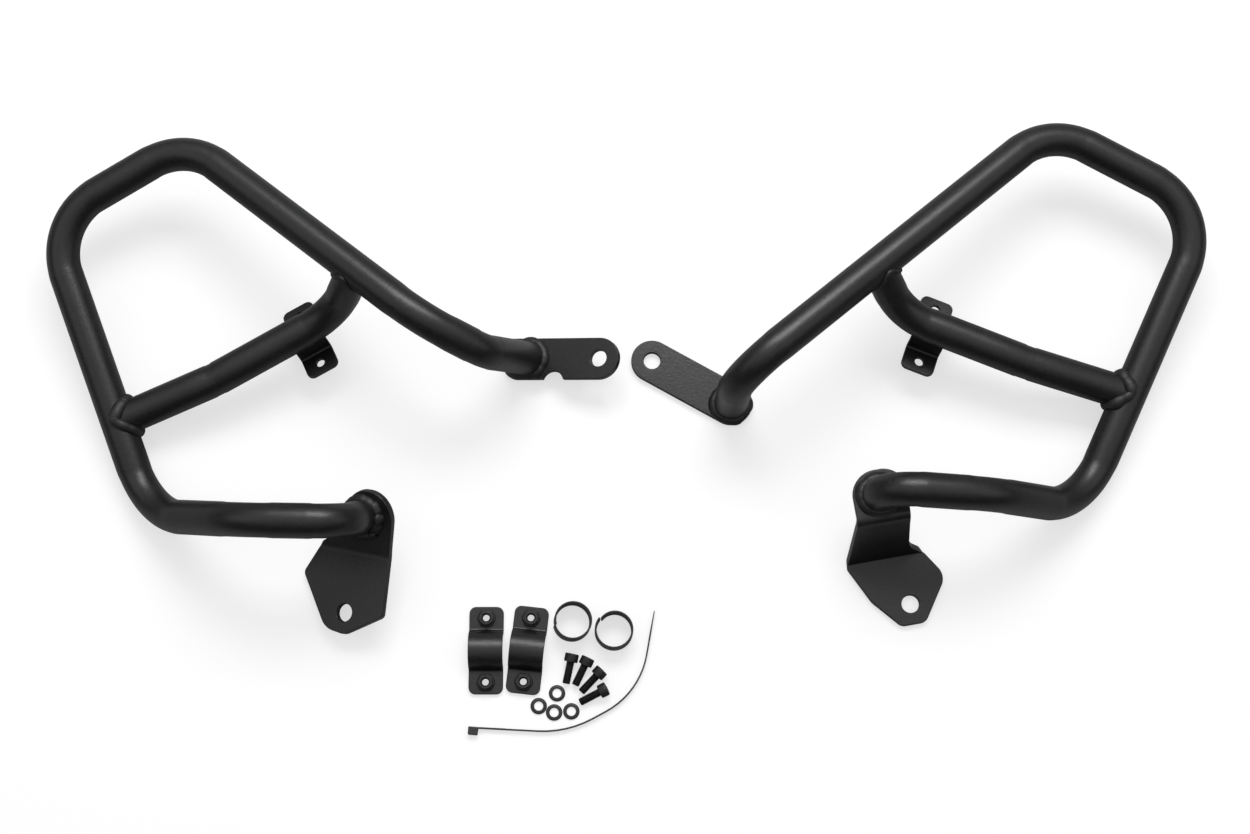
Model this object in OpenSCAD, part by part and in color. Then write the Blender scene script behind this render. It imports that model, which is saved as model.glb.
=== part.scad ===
/* [Tube] */
// Outside diameter of every tube
tube_d = 25; // [24:0.5:26]
// Wall of every tube
wall = 2; // [1.5:0.25:2.5]
// Centreline radius of the loop bends
bend_r = 50; // [45:1:55]
// How much a bend draws the tube in, on the radius
draw = 0.3; // [0.2:0.05:0.4]
// Length over which a straight narrows into a bend
draw_len = 8; // [5:1:10]

/* [Upper plates] */
// Thickness of both upper mounting plates
plate_t = 5; // [4:0.5:6]
// Width of both upper mounting plates
plate_w = 31; // [29:1:33]
// Bolt hole in the upper mounting plates
plate_hole_d = 12.5; // [10.5:0.5:13]
// Distance from the tube joint to the bolt hole
plate_reach = 67; // [60:1:72]
// Radius of the relief in the edge of the left plate
relief_r = 8.5; // [7:0.5:10]

/* [Lower brackets] */
// Thickness of both folded lower brackets
bracket_t = 5; // [4:0.5:5]
// Inside radius of the folds
fold_r = 4; // [3:0.5:6]
// Bolt hole in the lower brackets
bracket_hole_d = 13; // [10.5:0.5:14]

/* [Saddles] */
// Sheet thickness of the pressed saddles
saddle_t = 3; // [2.5:0.25:3.5]
// Width of a saddle along its channel
saddle_w = 25; // [22:1:30]
// Outside radius of the saddle's crown
crown_r = 14; // [13:0.5:15]
// Distance from the crown's side to an ear hole's centre
ear_reach = 9.25; // [8.5:0.25:12]
// Distance from an ear hole's centre to the end of its ear
ear_edge = 8.5; // [7:0.5:10]
// Corner radius of the ears
ear_corner = 5; // [3:0.5:7]
// Ear holes
ear_hole_d = 6.6; // [6.2:0.1:7]

/* [Hardware] */
// Thread size of the screws and nuts
screw_d = 6; // [5:1:6]
// Screw length under the head
screw_len = 16; // [14:1:25]
// Hexagon key size
key_af = 5; // [4:0.5:5]
// Washer outside diameter
washer_d = 12; // [11:0.5:14]
// Washer thickness
washer_t = 1.6; // [1:0.2:2]
// Nut across flats
nut_af = 10; // [9:0.5:11]
// Nut height
nut_h = 5; // [4:0.5:6]
// Outside diameter of the spacer sleeves
sleeve_d = 28; // [26:0.5:29]
// Height of the spacer sleeves
sleeve_h = 16; // [12:1:20]
// Wall of the spacer sleeves
sleeve_wall = 1.4; // [1:0.1:2]
// Width of the slit in the sleeves
slit = 1; // [0.6:0.1:2]
// Width of the cable tie's strap
tie_w = 3.6; // [2.5:0.1:5]
// Thickness of the cable tie's strap
tie_t = 1.2; // [1:0.1:1.6]

/* [Welds] */
// Leg of the fillet welds
weld_leg = 5; // [4:0.5:6]
// Leg of the welds under the upper runs
inner_leg = 2.5; // [2:0.5:4]

/* [Hidden] */
$fn = 48;
tube_r = tube_d / 2;
bend_tube_r = tube_r - draw;
bore_r = tube_r - wall;
bend_bore_r = bend_tube_r - wall;
// a bend's ends run this far, in degrees, into the straights beside it
lap = 0.5;
// and sit this far inside the straight's end
ledge = 0.12;
screw_head_d = screw_d * 5 / 3;
ear_pitch = 2 * (crown_r + ear_reach);
saddle_len = ear_pitch + 2 * ear_edge;
eps = 0.01;

// Corners of the bent centrelines, floor at z = 0. Each main tube runs from its upper plate
// round the loop to its lower bracket, each cross tube from the loop's side to its top run.
right_main = [[78.5, 9, 5], [79.5, 8, 98], [314, 207, 55], [431.5, 147.5, 42], [334, -70, 7.7], [258, -72.5, 80], [180.5, -69.5, 94], [180.5, -69.5, 60]];
right_main_r = [34, bend_r, bend_r, bend_r, 60, 24];
right_cross = [[371, 12.5, 20.3], [292.6, 32.6, 38], [202, 66.5, 46], [181.2, 94.6, 79.3]];
right_cross_r = [60, bend_r];
left_main = [[-71.5, 42, 11.3], [-100, 30, 82], [-144, 48.5, 105], [-322, 193.4, 61.8], [-425.5, 137.5, 42],
    [-348, -75.5, 7.2], [-268, -91.5, 86], [-196.5, -93.5, 91], [-188.5, -82, 40.6]];
left_main_r = [24, 70, bend_r, bend_r, bend_r, 60, 26];
left_cross = [[-372.8, -7.6, 18.2], [-300, 21, 32], [-212, 67.5, 45], [-192.1, 87.7, 93.4]];
left_cross_r = [60, bend_r];

// Frames of the plates and brackets: origin, then turns about x, y and z.
right_plate_at = [[78.5, 9, 5], [0, 0, 150.6]];
left_plate_at = [[-71.5, 42, 11.3], [0, -19, -4.3]];
right_bracket_at = [[185.5, -73, 0], [0, 0, 10]];
left_bracket_at = [[-233, -116.6, 5.12], [8, -24, -14]];
// the right bracket's upper flange stands this high, and its web starts and ends here
right_flange_z = 60;
right_web_top_y = -13;
right_web_foot_y = -32.5;
// the left bracket folds up by this much along this line
left_fold = 25;
left_fold_y = 21;

// how far along the cross tube's middle run each welded saddle hangs
right_saddle_run = 71;
left_saddle_run = 72;
// and how far it is rolled about its channel
right_saddle_roll = 14;
left_saddle_roll = -20;

// the whole set is slid by this to bring the middle of its outline over the origin
set_at = [-1.28, 12.24, 0];

black = [0.07, 0.07, 0.075];
zinc_black = [0.1, 0.1, 0.105];

function unit(v) = v / norm(v);
function heading(p, i) = unit(p[i + 1] - p[i]);
function bend_angle(p, i) = acos(heading(p, i - 1) * heading(p, i));
function setback(p, r, i) = i < 1 || i > len(p) - 2 ? 0 : r[i - 1] * tan(bend_angle(p, i) / 2);
// direction, square to the run before corner i, in which that corner turns
function inward(p, i) =
    let (a = heading(p, i - 1), b = heading(p, i)) unit(b - (a * b) * a);
// the same direction carried round the bend
function carried(p, i) =
    i < 1
        ? let (d = heading(p, 0), th = acos(d[2]), ph = atan2(d[1], d[0]))
            [cos(th) * cos(ph), cos(th) * sin(ph), -sin(th)]
        : let (a = bend_angle(p, i)) inward(p, i) * cos(a) - heading(p, i - 1) * sin(a);
function roll(p, i) =
    let (x = carried(p, i - 1), n = inward(p, i), d = heading(p, i - 1)) atan2(cross(x, n) * d, x * n);

// Corner rounding: each corner of a closed outline gives an arc of n steps.
function corner_arc(a, b, c, r, n) =
    let (
        u = unit(a - b), w = unit(c - b), half = acos(u * w) / 2,
        m = b + unit(u + w) * r / sin(half), s = b + u * r / tan(half),
        side = (u[0] * w[1] - u[1] * w[0]) > 0 ? 1 : -1,
        a0 = atan2(s[1] - m[1], s[0] - m[0]), sweep = 180 - 2 * half)
    [for (k = [0:n]) m + r * [cos(a0 - side * sweep * k / n), sin(a0 - side * sweep * k / n)]];
function rounded(p, r, n = 6) =
    [for (i = [0:len(p) - 1]) let (q = corner_arc(p[(i + len(p) - 1) % len(p)], p[i], p[(i + 1) % len(p)],
        is_list(r) ? r[i] : r, n)) for (v = q) v];

// Side view of a folded sheet: the middle line's corners give a band of thickness t, with inside radius ri.
function band_side(p, t, ri, s, n) = [
    for (i = [0:len(p) - 1])
        if (i == 0 || i == len(p) - 1)
            let (d = i == 0 ? unit(p[1] - p[0]) : unit(p[i] - p[i - 1])) p[i] + s * t / 2 * [-d[1], d[0]]
        else
            let (a = unit(p[i] - p[i - 1]), b = unit(p[i + 1] - p[i]), turn = a[0] * b[1] - a[1] * b[0],
                sweep = acos(a * b), g = turn > 0 ? 1 : -1, rm = ri[i - 1] + t / 2,
                m = p[i] + unit(b - a) * rm / cos(sweep / 2), r = rm - g * s * t / 2,
                a0 = atan2(-g * a[0], g * a[1]))
            for (k = [0:n]) m + r * [cos(a0 + g * sweep * k / n), sin(a0 + g * sweep * k / n)]];
function band(p, t, ri, n = 8) =
    let (f = band_side(p, t, ri, 1, n), b = band_side(p, t, ri, -1, n))
    concat(f, [for (i = [len(b) - 1:-1:0]) b[i]]);

module place(at) {
    translate(at[0]) rotate(at[1]) children();
}

// One straight, narrowed at the ends that run on into a bend.
module straight(h, r, rb, first, last) {
    k = min(draw_len, h * 0.4);
    rotate_extrude()
        polygon(concat(
            [[0, 0]],
            first ? [[r, 0]] : [[rb + ledge, 0], [r, k]],
            last ? [[r, h]] : [[r, h - k], [rb + ledge, h]],
            [[0, h]]));
}

module bend(a, br, r) {
    translate([br, 0, 0])
        rotate([90, 0, 0])
            rotate([0, 0, 180 - a - lap])
                rotate_extrude(angle = a + 2 * lap)
                    translate([br, 0])
                        circle(r = r);
}

module run(p, br, r, rb, i) {
    h = norm(p[i + 1] - p[i]) - setback(p, br, i) - setback(p, br, i + 1);
    straight(h, r, rb, i == 0, i == len(p) - 2);
    if (i < len(p) - 2) {
        a = bend_angle(p, i + 1);
        translate([0, 0, h])
            rotate([0, 0, roll(p, i + 1)]) {
                bend(a, br[i], rb);
                translate([br[i], 0, 0])
                    rotate([0, a, 0])
                        translate([-br[i], 0, 0])
                            run(p, br, r, rb, i + 1);
            }
    }
}

// A bent rod along the corners p, bends of radius br.
module bent(p, br, r, rb) {
    d = heading(p, 0);
    translate(p[0])
        rotate([0, acos(d[2]), atan2(d[1], d[0])])
            run(p, br, r, rb, 0);
}

// A plain rod from a to b, with its z axis along it.
module along(a, b) {
    d = unit(b - a);
    translate(a) rotate([0, acos(d[2]), atan2(d[1], d[0])]) children();
}

module rod(a, b, r) {
    along(a, b) cylinder(r = r, h = norm(b - a));
}

// Everything below a plate's top face, near the joint.
module below(size) {
    translate([-size / 2, -size / 2, -size]) cube(size);
}

function longer(p, more) = [for (i = [0:len(p) - 1])
    i == 0 ? p[0] - more * heading(p, 0)
    : i == len(p) - 1 ? p[i] + more * heading(p, i - 1)
    : p[i]];

module tube_shape(p, br) {
    difference() {
        bent(p, br, tube_r, bend_tube_r);
        bent(p, br, bore_r, bend_bore_r);
    }
}

module left_flange_frame() {
    place(left_bracket_at)
        translate([0, left_fold_y, 0])
            rotate([left_fold, 0, 0])
                children();
}

module left_main_tube() {
    color(black) translate(set_at)
        difference() {
            tube_shape(longer(left_main, 12), left_main_r);
            place(left_plate_at) below(60);
            left_flange_frame() translate([55, 30, 0]) below(60);
        }
}

module right_main_tube() {
    color(black) translate(set_at)
        difference() {
            tube_shape(longer(right_main, 12), right_main_r);
            place(right_plate_at) below(60);
            place(right_bracket_at) translate([0, 0, right_flange_z]) below(50);
        }
}

module cross_tube(p, br, outer_a, outer_b, inner_a, inner_b) {
    color(black) translate(set_at)
        difference() {
            tube_shape(p, br);
            rod(outer_a, outer_b, tube_r);
            rod(inner_a, inner_b, tube_r);
        }
}

module left_cross_tube() {
    cross_tube(left_cross, left_cross_r, left_main[4], left_main[5], left_main[2], left_main[3]);
}

module right_cross_tube() {
    cross_tube(right_cross, right_cross_r, right_main[3], right_main[4], right_main[1], right_main[2]);
}

module plate_hole(x) {
    translate([x, 0, -plate_t - 1]) cylinder(d = plate_hole_d, h = plate_t + 2);
}

module right_upper_plate() {
    color(black) translate(set_at)
        place(right_plate_at)
            difference() {
                translate([0, 0, -plate_t])
                    linear_extrude(plate_t)
                        polygon(rounded([[-plate_w / 2, -plate_w / 2], [plate_reach + plate_w / 2, -plate_w / 2],
                            [plate_reach + plate_w / 2, plate_w / 2], [-plate_w / 2, plate_w / 2]],
                            plate_w / 2 - eps, 16));
                plate_hole(plate_reach);
            }
}

module left_upper_plate() {
    reach = plate_reach - 12;
    color(black) translate(set_at)
        place(left_plate_at)
            difference() {
                translate([0, 0, -plate_t])
                    linear_extrude(plate_t)
                        polygon(rounded([[-20, -plate_w / 2], [reach + plate_w / 2, -plate_w / 2],
                            [reach + plate_w / 2, plate_w / 2], [-20, plate_w / 2]],
                            [11, plate_w / 2 - eps, plate_w / 2 - eps, 3], 16));
                plate_hole(reach);
                translate([20, -plate_w / 2 - relief_r * 0.28, -plate_t - 1])
                    cylinder(r = relief_r, h = plate_t + 2);
            }
}

module right_lower_bracket() {
    side = band([[26, right_flange_z - bracket_t / 2], [right_web_top_y, right_flange_z - bracket_t / 2],
        [right_web_foot_y, bracket_t / 2], [-90, bracket_t / 2]], bracket_t, [fold_r, fold_r]);
    color(black) translate(set_at)
        place(right_bracket_at)
            difference() {
                intersection() {
                    translate([-50, 0, 0])
                        rotate([90, 0, 90])
                            linear_extrude(100)
                                polygon(side);
                    translate([0, 0, -1])
                        linear_extrude(right_flange_z + 2)
                            polygon(rounded([[-22.5, 23], [18, 23], [15, -15], [16, -28], [26, -32], [40, -54],
                                [19, -85], [1, -85], [-17, -64], [-30, -37], [-23, -10]],
                                [18, 17, 12, 6, 8, 12, 7, 7, 14, 4, 20]));
                }
                translate([10.4, -70, -1]) cylinder(d = bracket_hole_d, h = bracket_t + 2);
            }
}

module left_lower_bracket() {
    h = bracket_t / 2;
    reach = 60;
    side = band([[-60, -h], [left_fold_y + h * tan(left_fold / 2), -h],
        [left_fold_y + reach * cos(left_fold), reach * sin(left_fold) - h / cos(left_fold)]],
        bracket_t, [fold_r * 3]);
    color(black) translate(set_at)
        place(left_bracket_at)
            difference() {
                intersection() {
                    translate([-20, 0, 0])
                        rotate([90, 0, 90])
                            linear_extrude(120)
                                polygon(side);
                    translate([0, 0, -bracket_t - 20])
                        linear_extrude(90)
                            polygon(rounded([[-2, 0], [25, -37], [42, -39], [71, -21.5], [67, 22.5], [74, 66],
                                [30.5, 66], [33.5, 39], [10, 25.5]],
                                [5, 16, 9, 4, 36, 18, 18, 5, 3]));
                }
                translate([39, -23.4, -bracket_t - 1]) cylinder(d = bracket_hole_d, h = bracket_t + 2);
            }
}

// Side view of a saddle: two ears and a half-round crown above them, ears' top face at y = 0.
function saddle_side() =
    let (n = 20, ro = crown_r, ri = crown_r - saddle_t, f = 2, e = saddle_len / 2, t = saddle_t,
        // the outside fillet where the crown leaves the ear
        xo = sqrt(pow(ro + f, 2) - f * f), ao = asin(f / (ro + f)),
        xi = sqrt(pow(ri + f + t, 2) - pow(f, 2)), ai = asin(f / (ri + f + t)))
    concat(
        [[-e, -t], [-e, 0]],
        [for (k = [0:4]) [-xo, f] + f * [cos(-90 + (90 - ao) * k / 4), sin(-90 + (90 - ao) * k / 4)]],
        [for (k = [1:n - 1]) ro * [-cos(ao + (180 - 2 * ao) * k / n), sin(ao + (180 - 2 * ao) * k / n)]],
        [for (k = [0:4]) [xo, f] + f * [-cos(ao + (90 - ao) * k / 4), -sin(ao + (90 - ao) * k / 4)]],
        [[e, 0], [e, -t]],
        [for (k = [0:4]) [xi, f] + (f + t) * [-cos(90 - (90 - ai) * k / 4), -sin(90 - (90 - ai) * k / 4)]],
        [for (k = [1:n - 1]) ri * [cos(ai + (180 - 2 * ai) * k / n), sin(ai + (180 - 2 * ai) * k / n)]],
        [for (k = [0:4]) [-xi, f] + (f + t) * [cos(-ai - (90 - ai) * k / 4), sin(-ai - (90 - ai) * k / 4)]]);

// A saddle with its channel along x and its crown up; z = 0 is the top face of the ears.
module saddle_shape() {
    difference() {
        intersection() {
            translate([-saddle_w / 2, 0, 0])
                rotate([90, 0, 90])
                    linear_extrude(saddle_w)
                        polygon(saddle_side());
            translate([0, 0, -saddle_t - 1])
                linear_extrude(crown_r + saddle_t + 2)
                    polygon(rounded([[-saddle_w / 2, -saddle_len / 2], [saddle_w / 2, -saddle_len / 2],
                        [saddle_w / 2, saddle_len / 2], [-saddle_w / 2, saddle_len / 2]], ear_corner));
        }
        for (s = [-1, 1])
            translate([0, s * ear_pitch / 2, -saddle_t - 1])
                cylinder(d = ear_hole_d, h = saddle_t + 2);
    }
}

// A frame on the underside of the run from a to b: x along the run, z up towards the tube.
module under(a, b, at) {
    along(a, b)
        translate([tube_r + crown_r, 0, at])
            rotate([0, -90, 0])
                children();
}

module left_saddle() {
    color(black) translate(set_at)
        under(left_cross[1], left_cross[2], left_saddle_run)
            rotate([left_saddle_roll, 0, 0])
                saddle_shape();
}

module right_saddle() {
    color(black) translate(set_at)
        under(right_cross[1], right_cross[2], right_saddle_run)
            rotate([right_saddle_roll, 0, 0])
                saddle_shape();
}

// Fillet weld round a tube that ends at a on a flat face, its other end towards b.
// The child is the metal under the face.
module seat_weld(a, b) {
    difference() {
        along(a - 6 * unit(b - a), b)
            rotate_extrude()
                polygon([[0, 0], [tube_r + weld_leg + 0.6, 0], [tube_r + weld_leg + 0.2, 7.2],
                    [tube_r + weld_leg * 0.72, 6 + weld_leg * 0.62], [tube_r + weld_leg * 0.4, 6 + weld_leg * 0.9],
                    [tube_r + 0.1, 6 + weld_leg * 1.3], [0, 6 + weld_leg * 1.3]]);
        rod(a - 15 * unit(b - a), a + 15 * unit(b - a), tube_r);
        children();
    }
}

module left_upper_weld() {
    color(black) translate(set_at) seat_weld(left_main[0], left_main[1]) place(left_plate_at) below(60);
}

module right_upper_weld() {
    color(black) translate(set_at) seat_weld(right_main[0], right_main[1]) place(right_plate_at) below(60);
}

module left_lower_weld() {
    color(black) translate(set_at)
        seat_weld(left_main[8], left_main[7])
            left_flange_frame() translate([55, 30, 0]) below(60);
}

module right_lower_weld() {
    color(black) translate(set_at)
        seat_weld(right_main[7], right_main[6])
            place(right_bracket_at) translate([0, 0, right_flange_z]) below(60);
}

// Flared collar round a cross tube that runs from joint a towards b, on a main tube from c to d.
module cope_weld(a, b, c, d, leg) {
    difference() {
        along(a, b)
            cylinder(r1 = tube_r + leg + 1, r2 = tube_r + 0.1, h = tube_r + leg + 3);
        rod(c, d, tube_r);
        rod(a - 20 * unit(b - a), a + 60 * unit(b - a), tube_r);
    }
}

module left_cross_outer_weld() {
    color(black) translate(set_at) cope_weld(left_cross[0], left_cross[1], left_main[4], left_main[5], weld_leg);
}

module right_cross_outer_weld() {
    color(black) translate(set_at) cope_weld(right_cross[0], right_cross[1], right_main[3], right_main[4], weld_leg);
}

module left_cross_inner_weld() {
    color(black) translate(set_at) cope_weld(left_cross[3], left_cross[2], left_main[3], left_main[2], inner_leg);
}

module right_cross_inner_weld() {
    color(black) translate(set_at) cope_weld(right_cross[3], right_cross[2], right_main[2], right_main[1], inner_leg);
}

// Two seams between a cross tube and the crown under it, one each side of the line of contact.
module saddle_weld(a, b, at) {
    difference() {
        under(a, b, at)
            for (s = [-1, 1])
                translate([-saddle_w / 2 + 2, s * (weld_leg + 0.5) - weld_leg / 2, crown_r - 5])
                    cube([saddle_w - 4, weld_leg, 10]);
        rod(a, b, tube_r);
        under(a, b, at)
            translate([-saddle_w, 0, 0])
                rotate([0, 90, 0])
                    cylinder(r = crown_r, h = 2 * saddle_w);
    }
}

module left_saddle_weld() {
    color(black) translate(set_at) saddle_weld(left_cross[1], left_cross[2], left_saddle_run);
}

module right_saddle_weld() {
    color(black) translate(set_at) saddle_weld(right_cross[1], right_cross[2], right_saddle_run);
}

// the loose clamp halves lie side by side, with this room between their straight edges
clamp_room = 4.9;
clamp_2_at = [[-70.9, -173.6, saddle_t], [0, 0, -6.3]];
clamp_1_at = [[clamp_2_at[0][0] - saddle_w - clamp_room, -173.8, saddle_t], [0, 0, 0]];
// the screws, the washers and the cable tie are laid out from the lower end of the second clamp half
kit_at = [clamp_2_at[0][0], clamp_2_at[0][1] - saddle_len / 2, 0];

module clamp_1() {
    color(zinc_black) translate(set_at) place(clamp_1_at) saddle_shape();
}

module clamp_2() {
    color(zinc_black) translate(set_at) place(clamp_2_at) saddle_shape();
}

module hex_nut() {
    difference() {
        intersection() {
            cylinder(d = nut_af / cos(30), h = nut_h, $fn = 6);
            rotate_extrude()
                polygon([[0, 0], [nut_af / 2 + 0.9, 0], [nut_af / 2 + 0.9, nut_h - 0.8],
                    [nut_af / 2 - 0.1, nut_h], [0, nut_h]]);
        }
        translate([0, 0, -1]) cylinder(d = screw_d, h = nut_h + 2);
    }
}

module clamp_nuts() {
    color(zinc_black) translate(set_at)
        for (at = [clamp_1_at, clamp_2_at], s = [-1, 1])
            place(at) translate([0, s * ear_pitch / 2, 0]) hex_nut();
}

module sleeve_1() {
    color(zinc_black) translate(set_at)
        translate([-38.2, -153.3, 0])
            difference() {
                cylinder(d = sleeve_d, h = sleeve_h);
                translate([0, 0, -1]) cylinder(d = sleeve_d - 2 * sleeve_wall, h = sleeve_h + 2);
                rotate([0, 0, 195]) translate([sleeve_d / 2 - 4, -slit / 2, -1]) cube([8, slit, sleeve_h + 2]);
            }
}

module sleeve_2() {
    color(zinc_black) translate(set_at)
        translate([-8, -159.8, 0])
            difference() {
                cylinder(d = sleeve_d, h = sleeve_h);
                translate([0, 0, -1]) cylinder(d = sleeve_d - 2 * sleeve_wall, h = sleeve_h + 2);
                rotate([0, 0, 140]) translate([sleeve_d / 2 - 4, -slit / 2, -1]) cube([8, slit, sleeve_h + 2]);
            }
}

// A cap screw lying on the floor, head towards a, tip towards heading turn.
module cap_screw(at, turn) {
    r = screw_head_d / 2;
    tilt = atan((screw_head_d - screw_d) / 2 / screw_len);
    translate([at[0], at[1], r * cos(tilt)])
        rotate([0, 90 + tilt, turn])
            difference() {
                union() {
                    rotate_extrude()
                        polygon([[0, -screw_d], [r - 0.5, -screw_d], [r, -screw_d + 0.5], [r, 0], [0, 0]]);
                    rotate_extrude()
                        polygon([[0, -1], [screw_d / 2, -1], [screw_d / 2, screw_len - 0.7],
                            [screw_d / 2 - 0.7, screw_len], [0, screw_len]]);
                }
                translate([0, 0, -screw_d - 1])
                    cylinder(d = key_af / cos(30), h = screw_d / 2 + 1, $fn = 6);
            }
}

module cap_screws() {
    color(zinc_black) translate(set_at + kit_at) {
        cap_screw([31.5, 23.05], -102);
        cap_screw([41.8, 20.65], -116);
        cap_screw([50.3, 12.95], -134);
        cap_screw([52.6, 1.25], -153);
    }
}

module washer() {
    k = 0.35;
    rotate_extrude()
        polygon([[screw_d / 2 + 0.3, 0], [washer_d / 2, 0], [washer_d / 2, washer_t - k],
            [washer_d / 2 - k, washer_t], [screw_d / 2 + 0.3, washer_t]]);
}

module washers() {
    color(zinc_black) translate(set_at + kit_at)
        for (p = [[21.7, 0.75], [19.7, -13.05], [32.1, -12.25], [8.5, -8.45]])
            translate([p[0], p[1], 0]) washer();
}

// Outline of the strap seen from above: straight, then two easy bends.
module cable_tie() {
    path = [[-35.1, -24.25], [29.1, -27.55], [81.7, 0.85], [92.3, 60.45]];
    color(black) translate(set_at + kit_at)
        union() {
            linear_extrude(tie_w)
                polygon(band(path, tie_t, [75, 58], 24));
            translate([-42.3, -29.55, 0])
                difference() {
                    linear_extrude(tie_w + 1.2)
                        polygon(rounded([[0, 0.5], [6.9, 0], [7.5, 5.8], [0.3, 6.4]], 0.8));
                    translate([2.6, 1.6, 1.8]) cube([1.8, 6, tie_w - 2.4]);
                }
        }
}

left_main_tube();
left_cross_tube();
left_upper_plate();
left_lower_bracket();
left_saddle();
left_upper_weld();
left_lower_weld();
left_cross_outer_weld();
left_cross_inner_weld();
left_saddle_weld();
right_main_tube();
right_cross_tube();
right_upper_plate();
right_lower_bracket();
right_saddle();
right_upper_weld();
right_lower_weld();
right_cross_outer_weld();
right_cross_inner_weld();
right_saddle_weld();
clamp_1();
clamp_2();
clamp_nuts();
sleeve_1();
sleeve_2();
cap_screws();
washers();
cable_tie();
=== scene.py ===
"""Looks of a laid-out crash bar set: two bent-tube bars and their loose fitting kit on a pale floor.

Pieces are built in mm on the floor plan that the part's source draws on. Workshop.piece brings each one to the
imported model's frame, in metres.
"""
import logging
import math
import random
from dataclasses import dataclass, field
from enum import Enum

import bmesh
import bpy
from mathutils import Matrix, Vector


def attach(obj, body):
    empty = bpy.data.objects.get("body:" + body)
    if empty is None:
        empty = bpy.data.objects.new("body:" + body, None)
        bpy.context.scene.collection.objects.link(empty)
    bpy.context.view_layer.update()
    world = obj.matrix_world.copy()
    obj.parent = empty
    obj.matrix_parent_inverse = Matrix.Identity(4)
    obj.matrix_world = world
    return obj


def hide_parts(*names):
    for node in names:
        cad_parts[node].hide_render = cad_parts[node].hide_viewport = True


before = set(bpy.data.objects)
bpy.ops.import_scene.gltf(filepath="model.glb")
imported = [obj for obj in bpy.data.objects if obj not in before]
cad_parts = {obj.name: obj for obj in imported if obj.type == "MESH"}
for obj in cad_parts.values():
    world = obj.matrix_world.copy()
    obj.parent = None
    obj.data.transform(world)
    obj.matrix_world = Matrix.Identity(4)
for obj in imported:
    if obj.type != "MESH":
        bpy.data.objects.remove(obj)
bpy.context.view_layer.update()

LOG = logging.getLogger("crash_bars")

BMesh, BMVert, BMEdge = bmesh.types.BMesh, bmesh.types.BMVert, bmesh.types.BMEdge
Spot = tuple[float, float]
Place = tuple[float, float, float]

MM = 0.001
# where the floor plan's origin lies in the frame, in mm
SET_AT = Vector((-1.28, 12.24, 0.0))
TUBE_R = 12.5
# plates and brackets: their thickness, and half the width of the upper plates
SHEET_T = 5.0
PLATE_HALF = 15.5
PLATE_HOLE_R = 6.25
BRACKET_HOLE_R = 6.5
# half width, ripple pitch and unevenness of each weld's bead
BEADS = {
    "upper_weld": (3.5, 5.0, 0.13),
    "lower_weld": (4.1, 5.0, 0.2),
    "cross_outer_weld": (4.3, 6.5, 0.2),
    "cross_inner_weld": (1.9, 2.6, 0.05),
}


class Slot(Enum):
    """The record's material slots."""

    POWDER_COAT = "powder_coat"
    WELDS = "powder_coat_welds"
    NUTS = "plated_nuts"
    SCREWS = "black_steel_screws"
    WASHERS = "black_steel_washers"
    SLEEVES = "black_steel_sleeves"
    TIE = "nylon_tie"


class Side(Enum):
    """Which bar of the pair."""

    LEFT = "left"
    RIGHT = "right"


def unit(v: Vector) -> Vector:
    """Return v at length one."""
    return v.normalized()


def vectors(points: list[Place]) -> list[Vector]:
    """Return points as vectors."""
    return [Vector(p) for p in points]


def eased(x: float) -> float:
    """Return x, from 0 to 1, eased in and out."""
    return x * x * (3 - 2 * x)


def turned(degrees: Place) -> Matrix:
    """Turn about x, then y, then z.

    Args:
        degrees: the three turns.

    Returns:
        The turn as a 4x4 matrix.
    """
    x, y, z = (math.radians(d) for d in degrees)
    return Matrix.Rotation(z, 4, "Z") @ Matrix.Rotation(y, 4, "Y") @ Matrix.Rotation(x, 4, "X")


def placed(at: Place, degrees: Place = (0, 0, 0)) -> Matrix:
    """Return the frame of a piece: its origin on the floor plan, in mm, and its turns."""
    return Matrix.Translation(Vector(at)) @ turned(degrees)


def facing(at: Vector, direction: Vector) -> Matrix:
    """Return a frame at a point with its z axis along a direction."""
    return Matrix.Translation(at) @ direction.to_track_quat("Z", "Y").to_matrix().to_4x4()


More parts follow.
